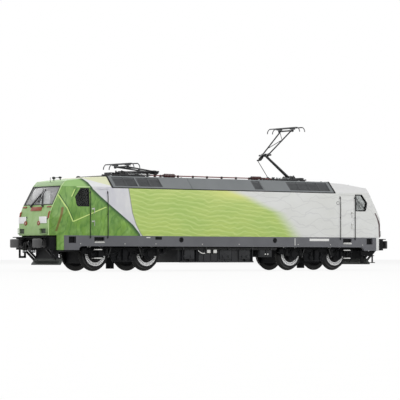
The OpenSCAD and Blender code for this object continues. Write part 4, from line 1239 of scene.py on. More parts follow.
@dataclass
class RoofGear:
    """Busbar clips, porcelain ribs and cab-roof horns and aerials."""

    deck: float = 44.8
    bar_y: float = -4.0
    bar_z: float = 45.9

    def build(self) -> None:
        """Builds the insulators, the clips that hold the busbar, the horns and the aerials."""
        self.insulators()
        self.horns()

    def ribs(self, centre: Point, axis: Point, length: float, radius: float, count: int) -> bpy.types.Object:
        """A porcelain insulator with rounded ribs."""
        step = length / count
        outline = [(0, 0)]
        for i in range(count):
            start = i * step
            outline += [(0.62 * radius, start), (0.95 * radius, start + 0.2 * step), (radius, start + 0.4 * step), (0.9 * radius, start + 0.6 * step), (0.62 * radius, start + 0.72 * step)]
        outline += [(0.62 * radius, length), (0, length)]
        return lathe("insulator", outline, centre, axis, 20)

    def insulators(self) -> None:
        """Two lying insulators in the busbar and a row of upright ones under it."""
        pieces = []
        top = self.bar_z + RAIL
        for sign in (-1, 1):
            pieces.append(self.ribs((sign * 24.2, self.bar_y, top), (sign, 0, 0), 6.4, 1.1, 7))
            for x in (32.6, 36.0):
                pieces.append(self.ribs((sign * x, self.bar_y, self.deck + RAIL), (0, 0, 1), 0.85, 0.85, 2))
        for x in (-21.9, -12.7, -3.9, 5.3, 14.4, 22.9):
            pieces.append(self.ribs((x, self.bar_y, self.deck + RAIL), (0, 0, 1), 0.85, 0.65, 2))
        dress(joined("porcelain", pieces), BROWN_GLAZE.material(), Fixing(LOCOMOTIVE, "insulator_brown", ("roof_insulators",)))
        clips = []
        for x in (-36, -32.6, -21.9, -12.7, -3.9, 5.3, 14.4, 22.9, 32.6, 36):
            clips.append(bevelled(block("clip", (x - 0.42, self.bar_y - 0.42, top - 0.5), (x + 0.42, self.bar_y + 0.42, top + 0.42)), 0.1))
        for x in (-31, -24, 24, 31):
            clips.append(lathe("ferrule", [(0.29, -0.35), (0.55, -0.35), (0.6, 0), (0.55, 0.35), (0.29, 0.35)], (x, self.bar_y, top), (1, 0, 0), 16))
        dress(joined("busbar_clips", clips), BLACKENED_STEEL.material(), Fixing(LOCOMOTIVE, "dark_steel"))

    def horns(self) -> None:
        """A pair of horns and a dome aerial on each cab roof."""
        pieces = [rod("horn_pipe", (88.6, 0, 43.85 + RAIL), (92.4, 0, 43.55 + RAIL), 0.16, 12)]
        for x, z, radius in ((92.3, 43.5, 0.62), (88.7, 43.8, 0.5)):
            bell = [(0, -0.7), (0.6 * radius, -0.7), (radius, -0.2), (radius, 0.5), (0.8 * radius, 0.75), (0.7 * radius, 0.4), (0, 0.3)]
            pieces.append(lathe("horn", bell, (x, 0, z + RAIL), (1, 0, 0), 20))
            pieces.append(rod("horn_foot", (x, 0, z - 2.0 + RAIL), (x, 0, z + RAIL), 0.24, 12))
        pieces.append(rod("whip", (94.4, 0, 41.0 + RAIL), (94.3, 0, 43.7 + RAIL), 0.12, 8))
        dome = [(0, 1.5), (0.5, 1.45), (0.9, 1.2), (1.1, 0.75), (1.1, 0), (0, 0)]
        pieces.append(lathe("aerial", dome, (78.4, 0, 43.3 + RAIL), (0, 0, 1), 28))
        dress(both_ends("horns_and_aerials", joined("horns_and_aerials", pieces)), BLACKENED_STEEL.material(), Fixing(LOCOMOTIVE, "black_trim", ("roof_horns",)))


# ---------------------------------------------------------------- cab fronts


@dataclass
class CabFront:
    """Lamps, wipers, handrails and the fittings under the windscreen, at both ends."""

    shell: BodyShell

    def build(self) -> None:
        """Builds the lamps, wipers, rails and front fittings."""
        self.lamps()
        self.wipers()
        self.fittings()
        self.handrails()
        self.desk()

    def lamps(self) -> None:
        """A reflector bowl, a clear lens and a red marker in each lamp pocket."""
        y, z, width, height = self.shell.lamp
        end = self.shell.half_length
        bowls, lenses, markers, trims = [], [], [], []
        for sign in (-1, 1):
            for off, radius in ((0.55, 1.35), (3.15, 1.0)):
                centre = (end - 1.75, sign * (y - width / 2 + 1.0 + off + 0.1), z + RAIL)
                bowl = [(0, 0), (radius * 0.45, 0.12), (radius * 0.8, 0.5), (radius, 1.1), (radius + 0.12, 1.1), (radius + 0.12, -0.1), (0, -0.1)]
                bowls.append(lathe("bowl", bowl, centre, (1, 0, 0), 24))
            cover = bevelled(block("lens", (end - 0.62, sign * y - width / 2 + 0.06, z - height / 2 + 0.06 + RAIL), (end - 0.12, sign * y + width / 2 - 0.06, z + height / 2 - 0.06 + RAIL)), 0.12, 3)
            lenses.append(cover)
            centre = (end - 0.06, sign * (y - width / 2 - 0.25), z - 1.5 + RAIL)
            markers.append(lathe("marker", [(0, 0.34), (0.3, 0.28), (0.5, 0.1), (0.56, -0.2), (0, -0.2)], centre, (1, 0, 0), 24))
            trims.append(lathe("bezel", [(0.54, -0.2), (1.08, -0.2), (1.08, 0.12), (0.9, 0.3), (0.54, 0.16)], centre, (1, 0, 0), 24))
            floor = bevelled(block("lamp_case", (end - 3.9, sign * y - width / 2 + 0.05, z - height / 2 + 0.05 + RAIL), (end - 1.9, sign * y + width / 2 - 0.05, z + height / 2 - 0.05 + RAIL)), 0.1)
            bowls.append(floor)
        dress(both_ends("lamp_reflectors", joined("lamp_reflectors", bowls)), LAMP_REFLECTOR.material(), Fixing(LOCOMOTIVE, "lamp_lens", ("headlights",)))
        dress(both_ends("lamp_lenses", joined("lamp_lenses", lenses)), LAMP_GLAZING.material(), Fixing(LOCOMOTIVE, "lamp_lens"))
        dress(both_ends("marker_lamps", joined("marker_lamps", markers)), AMBER_GLAZING.material(), Fixing(LOCOMOTIVE, "lamp_lens"))
        dress(both_ends("marker_bezels", joined("marker_bezels", trims)), RED_ENAMEL.material(), Fixing(LOCOMOTIVE, "black_trim"))

    def on_screen(self, out: float, y: float, up: float) -> Point:
        """A point on the windscreen plane: out from it, across, and up the rake from its foot."""
        (foot_x, foot_z), (head_x, head_z) = self.shell.rake
        rise = Vector((head_x - foot_x, head_z - foot_z)).normalized()
        place = Vector((foot_x, foot_z)) + rise * up + Vector((rise.y, -rise.x)) * out
        return (place.x, y, place.y + RAIL)

    def wipers(self) -> None:
        """Two wipers that park upright at the middle: pivot, arm, link and blade."""
        pieces = []
        for sign in (-1, 1):
            pieces.append(rod("wiper_pivot", self.on_screen(-0.2, sign * 5.4, -0.2), self.on_screen(0.5, sign * 5.4, -0.2), 0.45))
            pieces.append(rod("wiper_arm", self.on_screen(0.42, sign * 5.4, -0.2), self.on_screen(0.45, sign * 0.9, 6.4), 0.3, 12, 0.22))
            pieces.append(rod("wiper_link", self.on_screen(0.42, sign * 4.4, -0.1), self.on_screen(0.45, sign * 0.9, 5.6), 0.17, 10))
            corners = [self.on_screen(0.16, sign * 0.55, 1.9), self.on_screen(0.44, sign * 0.55, 1.9), self.on_screen(0.44, sign * 0.85, 9.2), self.on_screen(0.16, sign * 0.85, 9.2)]
            blade = chain("wiper_blade", corners, closed=True)
            applied(blade, "SOLIDIFY", thickness=0.5 * MM, offset=0)
            pieces.append(bevelled(blade, 0.05))
        dress(both_ends("wiper_sets", joined("wiper_sets", pieces)), BLACKENED_STEEL.material(), Fixing(LOCOMOTIVE, "black_trim", ("wipers",)))

    def fittings(self) -> None:
        """Red wiper housings, the grab rails over the buffers and the footholds."""
        end = self.shell.half_length
        reds, darks, frames = [], [], []
        for y, width in ((0, 9.4), (-10.8, 3.6), (10.8, 3.6)):
            low, high = (27.6, 29.5) if y == 0 else (29.1, 29.75)
            housing = block("wiper_housing", (end - 4, y - width / 2, low + RAIL), (end + 1, y + width / 2, high + RAIL))
            for place, normal in (((end - 3 + 0.35, 0, 29.8 + RAIL), (9.3, 0, 3.0)), ((end - 4, 0, 0), (-1, 0, 0))):
                sliced(housing, place, normal)
            reds.append(bevelled(housing, 0.15))
        for sign in (-1, 1):
            bar_y = sign * 12.7
            points = [(end - 2.4, bar_y, 23.8 + RAIL), (end - 1.2, bar_y, 24.0 + RAIL), (end - 1.3, bar_y, 25.4 + RAIL), (end - 1.7, bar_y, 26.8 + RAIL), (end - 3.2, bar_y, 27.2 + RAIL)]
            reds.append(tube("grab_rail", points, 0.36))
            step = block("foothold", (end - 1.38, sign * 9.65 - 2.8, 16.75 + RAIL), (end - 1.1, sign * 9.65 + 2.8, 19.15 + RAIL))
            darks.append(bevelled(step, 0.06))
            tread = block("foothold_tread", (end - 1.2, sign * 9.65 - 2.75, 16.75 + RAIL), (end + 0.05, sign * 9.65 + 2.75, 17.05 + RAIL))
            darks.append(bevelled(tread, 0.06))
            rim = block("foothold_rim", (end - 0.2, sign * 9.65 - 3.05, 16.5 + RAIL), (end + 0.08, sign * 9.65 + 3.05, 19.4 + RAIL))
            hole = block("cut_rim", (end - 1, sign * 9.65 - 2.75, 16.8 + RAIL), (end + 1, sign * 9.65 + 2.75, 19.1 + RAIL))
            frames.append(bevelled(cut(rim, hole), 0.06))
        dress(both_ends("wiper_housings", joined("wiper_housings", reds)), RED_ENAMEL.material(), Fixing(LOCOMOTIVE, "black_trim"))
        dress(both_ends("footholds", joined("footholds", darks)), FOOTHOLD_RUBBER.material(), Fixing(LOCOMOTIVE, "black_trim"))
        dress(both_ends("foothold_rims", joined("foothold_rims", frames)), self.shell.livery, Fixing(LOCOMOTIVE, "livery_paint"))

    def handrails(self) -> None:
        """Long black rails beside the doors, bent into their brackets."""
        side = self.shell.half_width
        pieces = []
        for x in self.shell.door:
            x += self.shell.door_joint / 2
            top = side - 0.44
            points = [(x, side - 0.1, 14.7 + RAIL), (x, side + 0.4, 14.75 + RAIL), (x, side + 0.4, 15.4 + RAIL), (x, side + 0.4, 33 + RAIL), (x, side + 0.12, 36.8 + RAIL), (x, top, 37.2 + RAIL)]
            pieces.append(tube("handrail", points, 0.17, smooth=False))
            for z in (15.2, 26.1, 36.3):
                lean = max(z - 33, 0) * 0.085
                foot = (x, side - 0.1 - lean, z + RAIL)
                pieces.append(rod("bracket", foot, (x, side + 0.45 - lean, z + RAIL), 0.3, 12))
        dress(four_corners("handrails", joined("handrails", pieces)), BLACKENED_STEEL.material(), Fixing(LOCOMOTIVE, "black_trim", ("door_handrails",)))

    def desk(self) -> None:
        """The driver's desk and seats, seen through the glass."""
        pieces = []
        floor = 20.0 + RAIL
        desk = prism("desk", [(93.5, 20), (99.1, 20), (99.1, 27.5), (96.4, 27.5), (93.5, 26.4)], Axis.Y, -12, 12)
        for corner in desk.data.vertices:
            corner.co.z += RAIL * MM
        pieces.append(bevelled(desk, 0.25))
        pieces.append(block("cab_floor", (71.2, -12.5, 19 + RAIL), (99.4, 12.5, floor)))
        for sign in (-1, 1):
            y = sorted((sign * 3.0, sign * 7.4))
            pieces.append(bevelled(block("seat", (83.4, y[0], 23 + RAIL), (87.4, y[1], 25 + RAIL)), 0.5, 3))
            pieces.append(bevelled(block("seat_back", (82.4, y[0], 23.4 + RAIL), (83.6, y[1], 31.5 + RAIL)), 0.45, 3))
            pieces.append(rod("seat_post", (85.4, sign * 5.2, 20 + RAIL), (85.4, sign * 5.2, 23.4 + RAIL), 0.7))
            pieces.append(bevelled(block("screen", (96.6, sign * 5 - 1.4, 27.3 + RAIL), (97.0, sign * 5 + 1.4, 28.9 + RAIL)), 0.1))
        dress(both_ends("cab_fittings", joined("cab_fittings", pieces)), CAB_STYRENE.material(), Fixing(LOCOMOTIVE, "cab_grey", ("cab_interiors",)))


# ---------------------------------------------------------------- ends and underframe


@dataclass
class Ends:
    """Buffers, beams, hooks and hoses at both ends."""

    spacing: float = 20.1
    height: float = 12.2
    head: Flat = (7.2, 4.2)
    beam_front: float = 104.2
    beam_half: float = 14.9

    def build(self) -> None:
        """Builds the buffers and the fittings on the beams."""
        self.buffers()
        self.beam_details()
        self.hooks()
        self.plates()

    def buffers(self) -> None:
        """Oblong heads with rounded corners on stepped sleeves."""
        y, z = self.spacing / 2, self.height + RAIL
        width, height = self.head
        face = Extent.of("buffers").high.x
        head = block("buffer_head", (face - 1.3, y - width / 2, z - height / 2), (face, y + width / 2, z + height / 2))
        only(head)
        corners = bevelled(head, 0.5, 3)
        sleeve = [(0, -0.4), (2.1, -0.4), (2.1, 0.2), (1.75, 0.3), (1.75, 1.5), (1.6, 1.65), (1.2, 1.65), (1.2, 2.6), (1.5, 3.15), (0, 3.15)]
        turned = lathe("buffer_sleeve", sleeve, (self.beam_front, y, z), (1, 0, 0), 32)
        bolts = []
        for a, b in ((-1, -1), (-1, 1), (1, -1), (1, 1)):
            bolts.append(lathe("bolt", [(0, 0.3), (0.3, 0.28), (0.34, 0), (0, 0)], (self.beam_front - 0.42, y + a * 1.9, z + b * 1.35), (1, 0, 0), 8))
        buffer = joined("buffer_set", [corners, turned, *bolts])
        dress(four_corners("buffer_sets", buffer), BUFFER_ACETAL.material(), Fixing(LOCOMOTIVE, "buffer_grey", ("buffers",)))

    def beam_details(self) -> None:
        """Plates, bolts and cable sockets on the beams."""
        pieces = []
        front = self.beam_front
        for y in (-7.9, 7.9):
            pieces.append(bevelled(block("socket", (front - 0.1, y - 1.1 if y > 0 else y - 1.0, 13.3 + RAIL), (front + 0.75, y + 1.0, 14.6 + RAIL)), 0.15))
            pieces.append(tube("jumper", [(front + 0.5, y, 13.5 + RAIL), (front + 1.0, y, 12.3 + RAIL), (front + 0.9, y * 0.8, 10.4 + RAIL), (front + 0.3, y * 0.62, 9.9 + RAIL)], 0.26))
        for x in (front - 1.0, front - 3.4):
            pieces.append(bevelled(block("beam_rib", (x, -self.beam_half - 0.02, 9.3 + RAIL), (x + 0.5, self.beam_half + 0.02, 9.6 + RAIL)), 0.1))
        for y in (-3.9, -2.1, 2.1, 3.9):
            pieces.append(lathe("cock", [(0, 0.5), (0.4, 0.45), (0.45, 0), (0, 0)], (front - 1.22, y, 11.1 + RAIL), (1, 0, 0), 10))
        dress(both_ends("beam_fittings", joined("beam_fittings", pieces)), BLACK_POLYAMIDE.material(), Fixing(LOCOMOTIVE, "black_frame"))

    def hooks(self) -> None:
        """A screw coupling that hangs from each drawhook."""
        x, z = self.beam_front + 1.35, self.height + RAIL
        pieces = []
        for y in (-0.75, 0.75):
            pieces.append(tube("link", [(x, y, z + 0.1), (x + 0.35, y, z - 1.6), (x + 0.1, y, z - 3.1)], 0.22))
        pieces.append(rod("link_pin", (x, -1.0, z + 0.1), (x, 1.0, z + 0.1), 0.3))
        pieces.append(rod("turnbuckle", (x + 0.1, -1.15, z - 3.1), (x + 0.1, 1.15, z - 3.1), 0.42))
        pieces.append(rod("screw", (x + 0.1, 0, z - 1.7), (x + 0.1, 0, z - 4.4), 0.3, 12))
        dress(both_ends("screw_couplings", joined("screw_couplings", pieces)), BLACKENED_STEEL.material(), Fixing(LOCOMOTIVE, "dark_steel"))

    def plates(self) -> None:
        """Hoses' metal couplings."""
        x = self.beam_front + 2.0
        pieces = []
        for y in (-4.7, -2.9, 2.9, 4.7):
            ring = [(0.4, -0.3), (0.56, -0.3), (0.62, 0), (0.56, 0.3), (0.4, 0.3)]
            pieces.append(lathe("coupling", ring, (x, y, 8.5 + RAIL), (0, 0, 1), 14))
        dress(both_ends("hose_couplings", joined("hose_couplings", pieces)), ZINC_PLATE.material(), Fixing(LOCOMOTIVE, "hose_black"))


@dataclass
class Underframe:
    """The sole band's fittings, the tank and box between the bogies, and their pipes."""

    half_width: float = 17.1
    band_foot: float = 10.8
    tank: Flat = (-28.7, 17.9)
    box: Flat = (21.0, 29.5)

    def build(self) -> None:
        """Builds the band's plates and recesses, the tank's fittings and the pipes."""
        self.band()
        self.tank_fittings()
        self.pipes()

    def band(self) -> None:
        """Blank plates, socket caps and recess frames on the grey band."""
        side = self.half_width
        darks, whites, brights = [], [], []
        for x in (-29.3, 29.3):
            cap = [(0, -0.7), (0.95, -0.7), (0.95, -0.2), (1.05, -0.15), (1.2, 0.05), (1.35, 0.05), (1.35, -0.3), (0, -0.3)]
            darks.append(lathe("socket_cap", cap, (x, side, 14.1 + RAIL), (0, 1, 0), 28))
            darks.append(bevelled(block("socket_bar", (x - 0.9, side - 0.35, 13.9 + RAIL), (x + 0.9, side - 0.05, 14.3 + RAIL)), 0.08))
        darks.append(bevelled(block("flap", (-44.9, side - 0.2, 14.1 + RAIL), (-41.0, side + 0.07, 15.6 + RAIL)), 0.1))
        whites.append(bevelled(block("plate", (52.0, side - 0.2, 13.9 + RAIL), (65.1, side + 0.06, 15.15 + RAIL)), 0.08))
        whites.append(bevelled(block("plate_small", (-50.2, side - 0.2, 14.9 + RAIL), (-47.9, side + 0.05, 15.3 + RAIL)), 0.05))
        whites.append(bevelled(block("plate_small", (42.2, side - 0.2, 11.6 + RAIL), (42.6, side + 0.05, 15.3 + RAIL)), 0.05))
        for x in (-88.2, -62.8, -44.6, -16.5, 6.3, 44.4, 66.0, 88.0):
            brights.append(lathe("jacking_stud", [(0, 0.16), (0.24, 0.14), (0.3, 0), (0, 0)], (x, side - 0.02, 12.0 + RAIL), (0, 1, 0), 10))
        for x in (self.door_mid(-1), self.door_mid(1)):
            for low in (14.15, 14.75):
                brights.append(bevelled(block("tread_bar", (x - 2.7, side - 0.85, low - 1.7 + RAIL), (x + 2.7, side + 0.2, low - 1.5 + RAIL)), 0.05))
        for sign in (-1, 1):
            low, high = sorted((sign * 91.1, sign * 94.5))
            frame = block("recess_frame", (low - 0.3, side - 0.3, 12.3 + RAIL), (high + 0.3, side + 0.06, 15.4 + RAIL))
            hole = block("cut_recess", (low, side - 1, 12.6 + RAIL), (high, side + 1, 15.1 + RAIL))
            darks.append(bevelled(cut(frame, hole), 0.06))
            darks.append(block("recess_back", (low, side - 1.0, 12.6 + RAIL), (high, side - 0.85, 15.1 + RAIL)))
            low, high = sorted((sign * 74.6, sign * 80.4))
            darks.append(block("step_back", (low, side - 1.0, 12.9 + RAIL), (high, side - 0.85, 15.2 + RAIL)))
        seam = block("band_foot_edge", (-86, side - 0.5, self.band_foot - 0.02 + RAIL), (86, side + 0.04, self.band_foot + 0.32 + RAIL))
        dress(both_sides("band_foot_edges", bevelled(seam, 0.08)), BAND_LACQUER.material(), Fixing(LOCOMOTIVE, "band_paint"))
        dress(both_sides("band_recesses", joined("band_recesses", darks)), BLACK_POLYAMIDE.material(), Fixing(LOCOMOTIVE, "black_frame"))
        dress(both_sides("blank_plates", joined("blank_plates", whites)), WHITE_PRINT.material(), Fixing(LOCOMOTIVE, "band_paint"))
        dress(both_sides("band_studs", joined("band_studs", brights)), NICKEL_SILVER.material(), Fixing(LOCOMOTIVE, "bright_steps"))

    def door_mid(self, sign: int) -> float:
        """Middle of the step recess under the door at one end."""
        return sign * 77.5

    def tank_fittings(self) -> None:
        """Ribs, covers, valves, a handle pipe and two blank plates on the tank and the box."""
        ribs, plates, brights = [], [], []
        start, stop = self.tank
        x = start + 2.0
        while x < stop - 1:
            ribs.append(bevelled(block("tank_rib", (x, 13.0, 3.4 + RAIL), (x + 0.45, 14.45, 10.4 + RAIL)), 0.12))
            x += 4.35
        ribs.append(bevelled(block("tank_ledge", (start + 0.3, 13.6, 10.0 + RAIL), (stop - 0.3, 14.9, 10.7 + RAIL)), 0.15))
        ribs.append(bevelled(block("tank_foot", (start + 0.3, 13.6, 3.0 + RAIL), (stop - 0.3, 14.6, 3.7 + RAIL)), 0.15))
        for a, b in ((start + 3, start + 9), (-4, 3.5), (8, 15)):
            ribs.append(bevelled(block("tank_cover", (a, 13.9, 4.6 + RAIL), (b, 14.75, 9.3 + RAIL)), 0.25, 3))
        for x in (-25.6, -21.8, -1.9, 1.6, 10.2, 13.1):
            ribs.append(lathe("tank_valve", [(0, 0.5), (0.5, 0.45), (0.62, 0.1), (0.8, 0), (0, 0)], (x, 14.7, 5.9 + RAIL), (0, 1, 0), 18))
        a, b = self.box
        for low, high in ((a + 0.4, a + 4.0), (a + 4.5, b - 0.4)):
            ribs.append(bevelled(block("box_door", (low, 14.0, 6.2 + RAIL), (high, 14.5, 10.4 + RAIL)), 0.15))
        plates.append(bevelled(block("tank_label", (-7.9, 14.4, 7.7 + RAIL), (-5.9, 14.96, 9.6 + RAIL)), 0.06))
        plates.append(bevelled(block("tank_label", (-11.9, 14.4, 7.7 + RAIL), (-9.9, 14.96, 9.6 + RAIL)), 0.06))
        brights.append(tube("tank_handle", [(-17.2, 14.2, 9.3 + RAIL), (-16.6, 14.9, 8.3 + RAIL), (-15.3, 15.0, 7.6 + RAIL), (-13.4, 14.9, 7.5 + RAIL)], 0.24))
        for x in (25.0, 26.6):
            brights.append(lathe("box_lock", [(0, 0.3), (0.35, 0.26), (0.42, 0), (0, 0)], (x, 14.45, 7.1 + RAIL), (0, 1, 0), 14))
        dress(both_sides("tank_fittings", joined("tank_fittings", ribs)), TANK_POLYAMIDE.material(), Fixing(LOCOMOTIVE, "black_frame"))
        dress(both_sides("tank_labels", joined("tank_labels", plates)), WHITE_PRINT.material(), Fixing(LOCOMOTIVE, "box_grey"))
        dress(both_sides("tank_handles", joined("tank_handles", brights)), NICKEL_SILVER.material(), Fixing(LOCOMOTIVE, "bright_steps"))

    def pipes(self) -> None:
        """Air pipes under the chassis, beside and below the tank."""
        pieces = []
        for y, z, radius in ((15.3, 10.2, 0.3), (14.9, 9.5, 0.22)):
            points = [(-31.5, 12.0, z + RAIL), (-31.0, y, z + RAIL), (-28.0, y, z + RAIL), (30.0, y, z + RAIL), (31.8, y, z + RAIL), (32.2, 12.0, z + RAIL)]
            pieces.append(tube("air_pipe", points, radius, smooth=False))
        for x in (-27, -13, 1, 16, 28):
            pieces.append(bevelled(block("pipe_clip", (x - 0.3, 14.5, 9.2 + RAIL), (x + 0.3, 15.7, 10.7 + RAIL)), 0.1))
        dress(both_sides("air_pipes", joined("air_pipes", pieces)), BLACKENED_STEEL.material(), Fixing(LOCOMOTIVE, "black_frame"))


# ---------------------------------------------------------------- bogies and wheels


@dataclass
class Bogie:
    """One bogie: side frames with axle boxes, coil springs, dampers, brake gear and sand pipes."""

    end: End
    half_pivots: float = 60.0
    half_base: float = 15.0
    outer: float = 13.3
    thick: float = 2.2
    top: float = 10.3
    axle: float = 7.2

    @property
    def middle(self) -> float:
        """X of the bogie's pivot."""
        return self.end.value * self.half_pivots

    @property
    def body(self) -> str:
        """The frame body that the bogie's pieces ride on."""
        return f"bogie_{self.end.word}"

    def frame_outline(self) -> list[Flat]:
        """A side frame seen from the side, about the bogie's middle."""
        half = [(24.6, 8), (24.6, self.top)]
        lower = [(22, 7), (18.6, 7), (17.4, 5.1), (15, 4.1), (12.6, 5.1), (11.4, 7), (8, 7), (6.5, 3.6)]
        right = [*reversed(lower), *half]
        return [*((x, z + RAIL) for x, z in right), *((-x, z + RAIL) for x, z in reversed(right))]

    def build(self) -> None:
        """Builds and dresses the bogie."""
        frame, inner = self.outer - 0.9, self.outer - self.thick
        place = self.middle
        side = prism("side_frame", [(x + place, z) for x, z in self.frame_outline()], Axis.Y, inner, frame)
        pieces = [bevelled(side, 0.2, 2)]
        pieces.append(bevelled(block("top_flange", (place - 24.4, inner - 0.2, self.top - 0.55 + RAIL), (place + 24.4, self.outer, self.top + RAIL)), 0.12))
        for sign in (-1, 1):
            start, stop = sorted((sign * 5.9, sign * 11.6))
            pieces.append(bevelled(block("frame_rib", (place + start, frame - 0.2, 7.1 + RAIL), (place + stop, self.outer - 0.2, 7.6 + RAIL)), 0.1))
            pieces.append(bevelled(block("end_block", (place + sign * 23.4 - 1.0, inner, 7.9 + RAIL), (place + sign * 23.4 + 1.0, self.outer, self.top + RAIL)), 0.15))
        for x in (place - self.half_base, place + self.half_base):
            pieces += self.axle_box(x)
        pieces += self.centre(place)
        both = both_sides("bogie_sides", joined("bogie_sides", pieces))
        cross = []
        for sign in (-1, 1):
            cross.append(bevelled(block("headstock", (place + sign * 24.3 - 0.3, -self.outer + 0.1, 8.2 + RAIL), (place + sign * 24.3 + 0.3, self.outer - 0.1, self.top - 0.1 + RAIL)), 0.1))
            low, high = sorted((sign * 6.8, sign * (inner + 0.1)))
            cross.append(bevelled(block("bolster", (place - 5, low, 6 + RAIL), (place + 5, high, 9.4 + RAIL)), 0.3))
        cross += self.guard_irons(place)
        frame_piece = joined(f"{self.body}_frame_detail", [both, *cross])
        dress(frame_piece, BLACK_POLYAMIDE.material(), Fixing(self.body, "black_frame", (f"bogie_frame_{self.end.word}",)))
        self.springs(place)
        self.dampers(place)

    def axle_box(self, x: float) -> list[bpy.types.Object]:
        """A ribbed round axle box with a bolted cap, and its two spring seats."""
        z = self.axle + RAIL
        inner = self.outer - 2.1
        profile = [(0, 0), (3.0, 0), (3.2, 0.3), (3.2, 1.1), (2.7, 1.25), (2.55, 1.7), (1.9, 1.75), (1.8, 2.1), (0, 2.1)]
        pieces = [lathe("axle_box", profile, (x, inner, z), (0, 1, 0), 36)]
        for i in range(6):
            turn = math.radians(60 * i + 30)
            bolt = [(0, 0.25), (0.24, 0.22), (0.28, 0), (0, 0)]
            pieces.append(lathe("cap_bolt", bolt, (x + 2.2 * math.cos(turn), inner + 1.7, z + 2.2 * math.sin(turn)), (0, 1, 0), 8))
        for sign in (-1, 1):
            pieces.append(bevelled(block("spring_seat", (x + sign * 4.6 - 1.3, self.outer - 1.6, 6.3 + RAIL), (x + sign * 4.6 + 1.3, self.outer, 6.75 + RAIL)), 0.12))
            arm = [(x + sign * 2.2, 6.2 + RAIL), (x + sign * 5.6, 6.2 + RAIL), (x + sign * 5.6, 6.8 + RAIL), (x + sign * 2.2, 8.2 + RAIL)]
            pieces.append(bevelled(prism("box_wing", arm if sign > 0 else arm[::-1], Axis.Y, self.outer - 1.7, self.outer - 0.5), 0.1))
        return pieces

    def centre(self, place: float) -> list[bpy.types.Object]:
        """The brake cylinder, its bracket and the sand box between the axles."""
        pieces = []
        for sign in (-1, 1):
            drum = [(0, 0), (1.15, 0), (1.3, 0.2), (1.3, 0.8), (0.9, 1.0), (0.5, 1.25), (0, 1.25)]
            pieces.append(lathe("brake_drum", drum, (place + sign * 3.4, self.outer - 1.1, 5.3 + RAIL), (0, 1, 0), 24))
            pieces.append(bevelled(block("drum_bracket", (place + sign * 3.4 - 0.5, self.outer - 0.95, 5.4 + RAIL), (place + sign * 3.4 + 0.5, self.outer - 0.3, 8.2 + RAIL)), 0.1))
            pieces.append(tube("brake_pipe", [(place + sign * 3.4, self.outer - 0.3, 6.4 + RAIL), (place + sign * 5.2, self.outer - 0.3, 7.9 + RAIL), (place + sign * 9.5, self.outer - 0.35, 8.4 + RAIL), (place + sign * 18.0, self.outer - 0.35, 8.6 + RAIL)], 0.17))
            for off in (2.3, 21.2):
                pieces.append(lathe("frame_bolt", [(0, 0.3), (0.32, 0.26), (0.38, 0), (0, 0)], (place + sign * off, self.outer - 0.92, 8.9 + RAIL), (0, 1, 0), 10))
        pieces.append(bevelled(block("pivot_block", (place - 1.4, self.outer - 1.0, 3.8 + RAIL), (place + 1.4, self.outer - 0.1, 9.6 + RAIL)), 0.2))
        return pieces

    def guard_irons(self, place: float) -> list[bpy.types.Object]:
        """Sand pipes that hang beside the wheels at the bogie's outer end."""
        out = self.end.value
        pieces = []
        for sign in (-1, 1):
            x, y = place + out * 24.3, sign * (self.outer - 1.2)
            route = [(x - out * 0.2, y, 9.2 + RAIL), (x, y, 7.0 + RAIL), (x - out * 0.2, y, 4.4 + RAIL), (x - out * 0.6, y * 0.92, 2.9 + RAIL)]
            pieces.append(tube("sand_pipe", route, 0.3))
            pieces.append(bevelled(block("sand_bracket", (x - 0.35, y - 0.6, 4.6 + RAIL), (x + 0.35, y + 0.6, 5.3 + RAIL)), 0.1))
        return pieces

    def coil(self, name: str, centre: Point, radius: float, height: float, turns: float, wire: float) -> bpy.types.Object:
        """An upright coil spring that stands on its centre point."""
        steps = int(turns * 12)
        points = []
        for i in range(steps + 1):
            angle = FULL_TURN * turns * i / steps
            points.append((centre[0] + radius * math.cos(angle), centre[1] + radius * math.sin(angle), centre[2] + height * i / steps))
        return tube(name, points, wire, 2)

    def springs(self, place: float) -> None:
        """Coil springs beside each axle box."""
        pieces = []
        for x in (place - self.half_base, place + self.half_base):
            for sign in (-1, 1):
                pieces.append(self.coil("spring", (x + sign * 4.6, self.outer - 0.95, 6.85 + RAIL), 0.72, 2.7, 4.5, 0.2))
        dress(both_sides(f"{self.body}_springs", joined("springs", pieces)), BLACKENED_STEEL.material(), Fixing(self.body, "black_frame"))

    def dampers(self, place: float) -> None:
        """Upright and lying dampers: a sleeve, a bright rod and two eyes."""
        pieces = []
        for sign in (-1, 1):
            low = (place + sign * 9.7, self.outer - 0.25, 5.9 + RAIL)
            high = (place + sign * 8.4, self.outer - 0.25, 10.0 + RAIL)
            mid = tuple((a + b) / 2 for a, b in zip(low, high))
            pieces += [rod("damper_rod", low, mid, 0.22, 12), rod("damper_sleeve", mid, high, 0.42, 16)]
            for eye in (low, high):
                pieces.append(rod("damper_eye", (eye[0], eye[1] - 0.4, eye[2]), (eye[0], eye[1] + 0.25, eye[2]), 0.45, 16))
        dress(both_sides(f"{self.body}_dampers", joined("dampers", pieces)), BLACKENED_STEEL.material(), Fixing(self.body, "dark_steel"))


